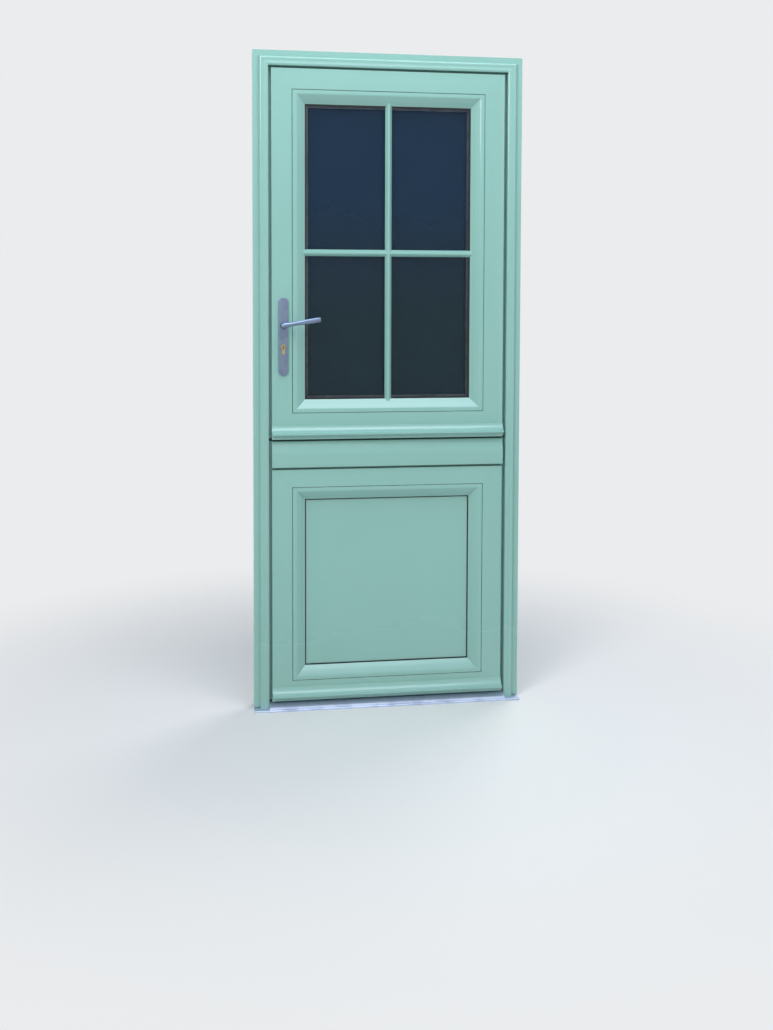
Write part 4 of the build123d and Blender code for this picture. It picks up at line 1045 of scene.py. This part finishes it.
@dataclass
class ScrewSet:
    """Cross-recessed screws of the hinges, bolts, handle plate, faceplate and keep."""

    head_radius: float = 0.0036
    head_height: float = 0.0018
    rounding: float = 0.0011
    rounding_steps: int = 3
    sides: int = 28
    recess_length: float = 0.0044
    recess_width: float = 0.0009
    recess_depth: float = 0.0009
    recess_taper: float = 0.8
    sunk_height: float = 0.0004
    hinge_plate: float = 0.004
    bolt_plate: float = 0.003
    frame_plate_inset: float = 0.0125
    leaf_plate_inset: float = 0.0125
    leaf_levels: tuple = (-0.038, -0.014, 0.014, 0.038)
    bolt_reach: float = 0.030
    bolt_spread: float = 0.0135
    handle_inset: float = 0.014
    edge_inset: float = 0.009
    turn_step: float = math.radians(37.0)

    def build(self, finishes: Finishes) -> None:
        """Model one head, set out a copy at each place and join them body by body.

        Args:
            finishes: the door's finishes.
        """
        head = self.model_head(finishes.steel)
        places = (
            *self.hinge_places(),
            *self.bolt_places(),
            *self.handle_places(),
            *self.edge_places(),
        )
        for body in ("frame", "lower_leaf", "upper_leaf"):
            chosen = [place for place in places if place.body == body]
            group = self.set_out(head, f"{body}_screws", chosen)
            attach(group, body)
            LOG.info("%s: %d screws", group.name, len(chosen))
        bpy.data.objects.remove(head)

    def model_head(self, material: bpy.types.Material) -> bpy.types.Object:
        """Model a pan head that stands on the origin and faces along Z.

        Args:
            material: its finish.

        Returns:
            The head, with its cross cut in.
        """
        bpy.ops.object.select_all(action="DESELECT")
        bpy.ops.mesh.primitive_cylinder_add(
            vertices=self.sides,
            radius=self.head_radius,
            depth=self.head_height,
            location=(0.0, 0.0, self.head_height / 2),
        )
        head = bpy.context.object
        head.name = "screw_head"
        settle(head)
        with edit_mode(head):
            select_where(head, Element.FACE, lambda face: face.normal.z > FACING)
            bpy.ops.mesh.bevel(offset=self.rounding, segments=self.rounding_steps, affect="EDGES")
        for along in (0, 1):
            size = [self.recess_width, self.recess_width, 2 * self.recess_depth]
            size[along] = self.recess_length
            self.cut_slot(head, size)
        head.data.materials.append(material)
        bpy.ops.object.shade_smooth_by_angle(angle=SMOOTH_LIMIT)
        return head

    def cut_slot(self, head: bpy.types.Object, size: list[float]) -> None:
        """Cut one arm of the cross out of the head's top.

        Args:
            head: the head.
            size: the slot's length along each axis in metres.
        """
        bpy.ops.object.select_all(action="DESELECT")
        bpy.ops.mesh.primitive_cube_add(size=1.0, location=(0.0, 0.0, self.head_height))
        cutter = bpy.context.object
        cutter.scale = size
        settle(cutter)
        with edit_mode(cutter):
            select_where(cutter, Element.FACE, lambda face: face.normal.z < -FACING)
            bpy.ops.transform.resize(value=(self.recess_taper, self.recess_taper, 1.0))
        subtract(head, cutter)

    def set_out(
        self, head: bpy.types.Object, name: str, places: list[ScrewPlace]
    ) -> bpy.types.Object:
        """Copy the head to each place, its cross a step further each time, and join the copies.

        Args:
            head: the modelled head.
            name: name of the joined piece.
            places: where the copies go.

        Returns:
            The joined piece, with its places in its mesh.
        """
        copies = []
        for index, place in enumerate(places):
            copy = own_copy(head)
            turn = Matrix.Rotation(self.turn_step * index, 4, "Z")
            aim = place.facing.to_track_quat("Z", "Y").to_matrix().to_4x4()
            sink = Matrix.Translation((0.0, 0.0, place.proud - self.head_height))
            copy.data.transform(Matrix.Translation(place.seat) @ aim @ turn @ sink)
            copies.append(copy)
        bpy.ops.object.select_all(action="DESELECT")
        for copy in copies:
            copy.select_set(True)
        bpy.context.view_layer.objects.active = copies[0]
        bpy.ops.object.join()
        copies[0].name = name
        return copies[0]

    def on_inner_face(self, body: str, point: Iterable[float]) -> ScrewPlace:
        """Place of a screw that stands on the inner face of what it holds.

        Args:
            body: the body that it rides on.
            point: the middle of its seat.

        Returns:
            The place.
        """
        return ScrewPlace(body, Vector(point), Vector((0.0, 1.0, 0.0)), self.head_height)

    def hinge_places(self) -> Iterator[ScrewPlace]:
        """Places on the frame's and the leaf's plate of each hinge."""
        leaf_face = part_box("upper_beads")[1][1]
        bodies = ("lower_leaf", "lower_leaf", "upper_leaf", "upper_leaf")
        for number, body in enumerate(bodies, start=1):
            low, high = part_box(f"frame_hinge_{number}")
            x, y = (low[0] + high[0]) / 2, low[1] + self.hinge_plate
            for z in (low[2] + self.frame_plate_inset, high[2] - self.frame_plate_inset):
                yield self.on_inner_face("frame", (x, y, z))
            low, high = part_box(f"leaf_hinge_{number}")
            x, y = low[0] + self.leaf_plate_inset, leaf_face + self.hinge_plate
            middle = (low[2] + high[2]) / 2
            for step in self.leaf_levels:
                yield self.on_inner_face(body, (x, y, middle + step))

    def bolt_places(self) -> Iterator[ScrewPlace]:
        """Places at the corners of both bolts' plates."""
        for plate, along in (("side_bolt_plate", 0), ("coupling_bolt_plate", 2)):
            low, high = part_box(plate)
            centre = [(a + b) / 2 for a, b in zip(low, high)]
            for reach in (-self.bolt_reach, self.bolt_reach):
                for spread in (-self.bolt_spread, self.bolt_spread):
                    point = [centre[0], low[1] + self.bolt_plate, centre[2]]
                    point[along] += reach
                    point[2 - along] += spread
                    yield self.on_inner_face("lower_leaf", point)

    def handle_places(self) -> Iterator[ScrewPlace]:
        """Places at both ends of the inner handle plate."""
        low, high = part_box("inner_handle_plate")
        x, y = (low[0] + high[0]) / 2, high[1]
        for z in (low[2] + self.handle_inset, high[2] - self.handle_inset):
            yield self.on_inner_face("upper_leaf", (x, y, z))

    def edge_places(self) -> Iterator[ScrewPlace]:
        """Places in the lock's faceplate and in its keep, which face each other."""
        for node, body, end, way in (
            ("lock_faceplate", "upper_leaf", 0, -1.0),
            ("lock_keep", "frame", 1, 1.0),
        ):
            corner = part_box(node)
            x, y = corner[end][0], (corner[0][1] + corner[1][1]) / 2
            for z in (corner[0][2] + self.edge_inset, corner[1][2] - self.edge_inset):
                yield ScrewPlace(body, Vector((x, y, z)), Vector((way, 0.0, 0.0)), self.sunk_height)


@dataclass(frozen=True)
class Lamp:
    """Soft square lamp: its place, what it points at, its side in metres and power in watts."""

    name: str
    place: tuple
    target: tuple
    size: float
    power: float
    colour: Colour = (1.0, 1.0, 1.0)

    def add(self) -> None:
        """Put the lamp into the scene."""
        data = bpy.data.lights.new(self.name, "AREA")
        data.shape = "SQUARE"
        data.size = self.size
        data.energy = self.power
        data.color = self.colour
        lamp = bpy.data.objects.new(self.name, data)
        bpy.context.scene.collection.objects.link(lamp)
        lamp.location = self.place
        aim = Vector(self.target) - Vector(self.place)
        lamp.rotation_euler = aim.to_track_quat("-Z", "Y").to_euler()


@dataclass
class Studio:
    """Pale floor, soft lamps and the camera of the photograph."""

    lamps: tuple = (
        Lamp("key", (-2.4, -3.4, 3.2), (0.0, 0.0, 1.2), 1.6, 84.0, (1.0, 0.98, 0.95)),
        Lamp("fill", (2.8, -3.0, 1.8), (0.0, 0.0, 1.0), 2.6, 16.0),
        Lamp("top", (0.2, -1.5, 3.9), (0.0, 0.0, 0.9), 2.0, 56.0, (0.88, 0.94, 1.0)),
        Lamp("rear", (2.6, 3.0, 3.6), (0.0, 0.0, 1.1), 2.6, 82.0),
    )
    eye: tuple = (-0.585, -3.811, 1.387)
    yaw: float = 8.66
    pitch: float = 2.96
    roll: float = 0.17
    focal_px: float = 1150.0
    frame_px: tuple = (773, 1030)
    centre_px: tuple = (386.5, 352.8)
    sensor_mm: float = 36.0
    floor_size: float = 60.0
    floor_colour: Colour = (0.86, 0.85, 0.83)
    floor_patch: float = 0.985
    backdrop: Colour = (0.83, 0.84, 0.85)
    sky: Colour = (0.40, 0.64, 1.0)
    sky_band: tuple = (0.5, 0.95)
    fade_start: float = 0.65
    fade_end: float = 2.2
    world_strength: float = 0.36

    def build(self) -> None:
        """Set up floor, world, lamps, camera and view."""
        self.add_floor()
        self.add_world()
        for lamp in self.lamps:
            lamp.add()
        self.add_camera()
        bpy.context.scene.view_settings.view_transform = "Standard"

    def add_floor(self) -> None:
        """Pale floor that keeps the object's shadow and fades into the backdrop far away."""
        bpy.ops.object.select_all(action="DESELECT")
        bpy.ops.mesh.primitive_plane_add(size=self.floor_size, location=(0.0, 0.0, 0.0))
        floor = bpy.context.object
        floor.name = "studio_floor"
        graph = Finish("studio_floor")
        tone = graph.band(graph.noise(0.6), 0.3, 0.7)
        pale = tuple(channel * self.floor_patch for channel in self.floor_colour)
        graph.finish(Base_Color=graph.blend(tone, pale, self.floor_colour), Roughness=0.7)
        away = graph.add(
            "ShaderNodeVectorMath", {"operation": "LENGTH"}, {0: graph.place}, output="Value"
        )
        far = graph.band(away, self.fade_start, self.fade_end) * graph.seen()
        glow = graph.add("ShaderNodeEmission", inputs={"Color": (*self.backdrop, 1.0)})
        lit = Signal(graph, graph.shader.outputs["BSDF"])
        graph.surface(graph.add("ShaderNodeMixShader", inputs={0: far, 1: lit, 2: glow}))
        floor.data.materials.append(graph.material)

    def add_world(self) -> None:
        """Even light from all round with a blue zenith, pale where the camera or gloss shows it."""
        world = bpy.data.worlds.new("studio_world")
        bpy.context.scene.world = world
        world.use_nodes = True
        graph = Graph(world.node_tree, "ShaderNodeOutputWorld")
        aim = graph.add("ShaderNodeTexCoord", output="Generated")
        rise = graph.add("ShaderNodeSeparateXYZ", inputs={"Vector": aim}, output="Z")
        dome = graph.blend(graph.band(rise, *self.sky_band), self.backdrop, self.sky)
        strength = self.world_strength + (1.0 - self.world_strength) * graph.seen()
        shader = graph.add("ShaderNodeBackground", inputs={"Color": dome, "Strength": strength})
        graph.surface(shader)

    def add_camera(self) -> None:
        """Camera at the photograph's place, with its lens and shift."""
        longest = max(self.frame_px)
        data = bpy.data.cameras.new("photo_camera")
        data.sensor_width = self.sensor_mm
        data.lens = self.sensor_mm * self.focal_px / longest
        data.shift_x = (self.frame_px[0] / 2 - self.centre_px[0]) / longest
        data.shift_y = (self.centre_px[1] - self.frame_px[1] / 2) / longest
        camera = bpy.data.objects.new("photo_camera", data)
        bpy.context.scene.collection.objects.link(camera)
        turn = (
            Matrix.Rotation(math.radians(-self.yaw), 4, "Z")
            @ Matrix.Rotation(QUARTER_TURN - math.radians(self.pitch), 4, "X")
            @ Matrix.Rotation(math.radians(self.roll), 4, "Z")
        )
        camera.matrix_world = Matrix.Translation(self.eye) @ turn
        bpy.context.scene.camera = camera


def main() -> None:
    """Build the door's finishes and pieces, then the studio."""
    logging.basicConfig(level=logging.INFO, format="%(message)s")
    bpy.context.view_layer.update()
    finishes = Finishes()
    finisher = Finisher()
    for assembly in (DoorFrame(), LowerLeaf(), UpperLeaf(), LockSet()):
        assembly.build(finisher, finishes)
    HandleSet().build(finishes)
    ScrewSet().build(finishes)
    Studio().build()


if __name__ == "__main__":
    main()
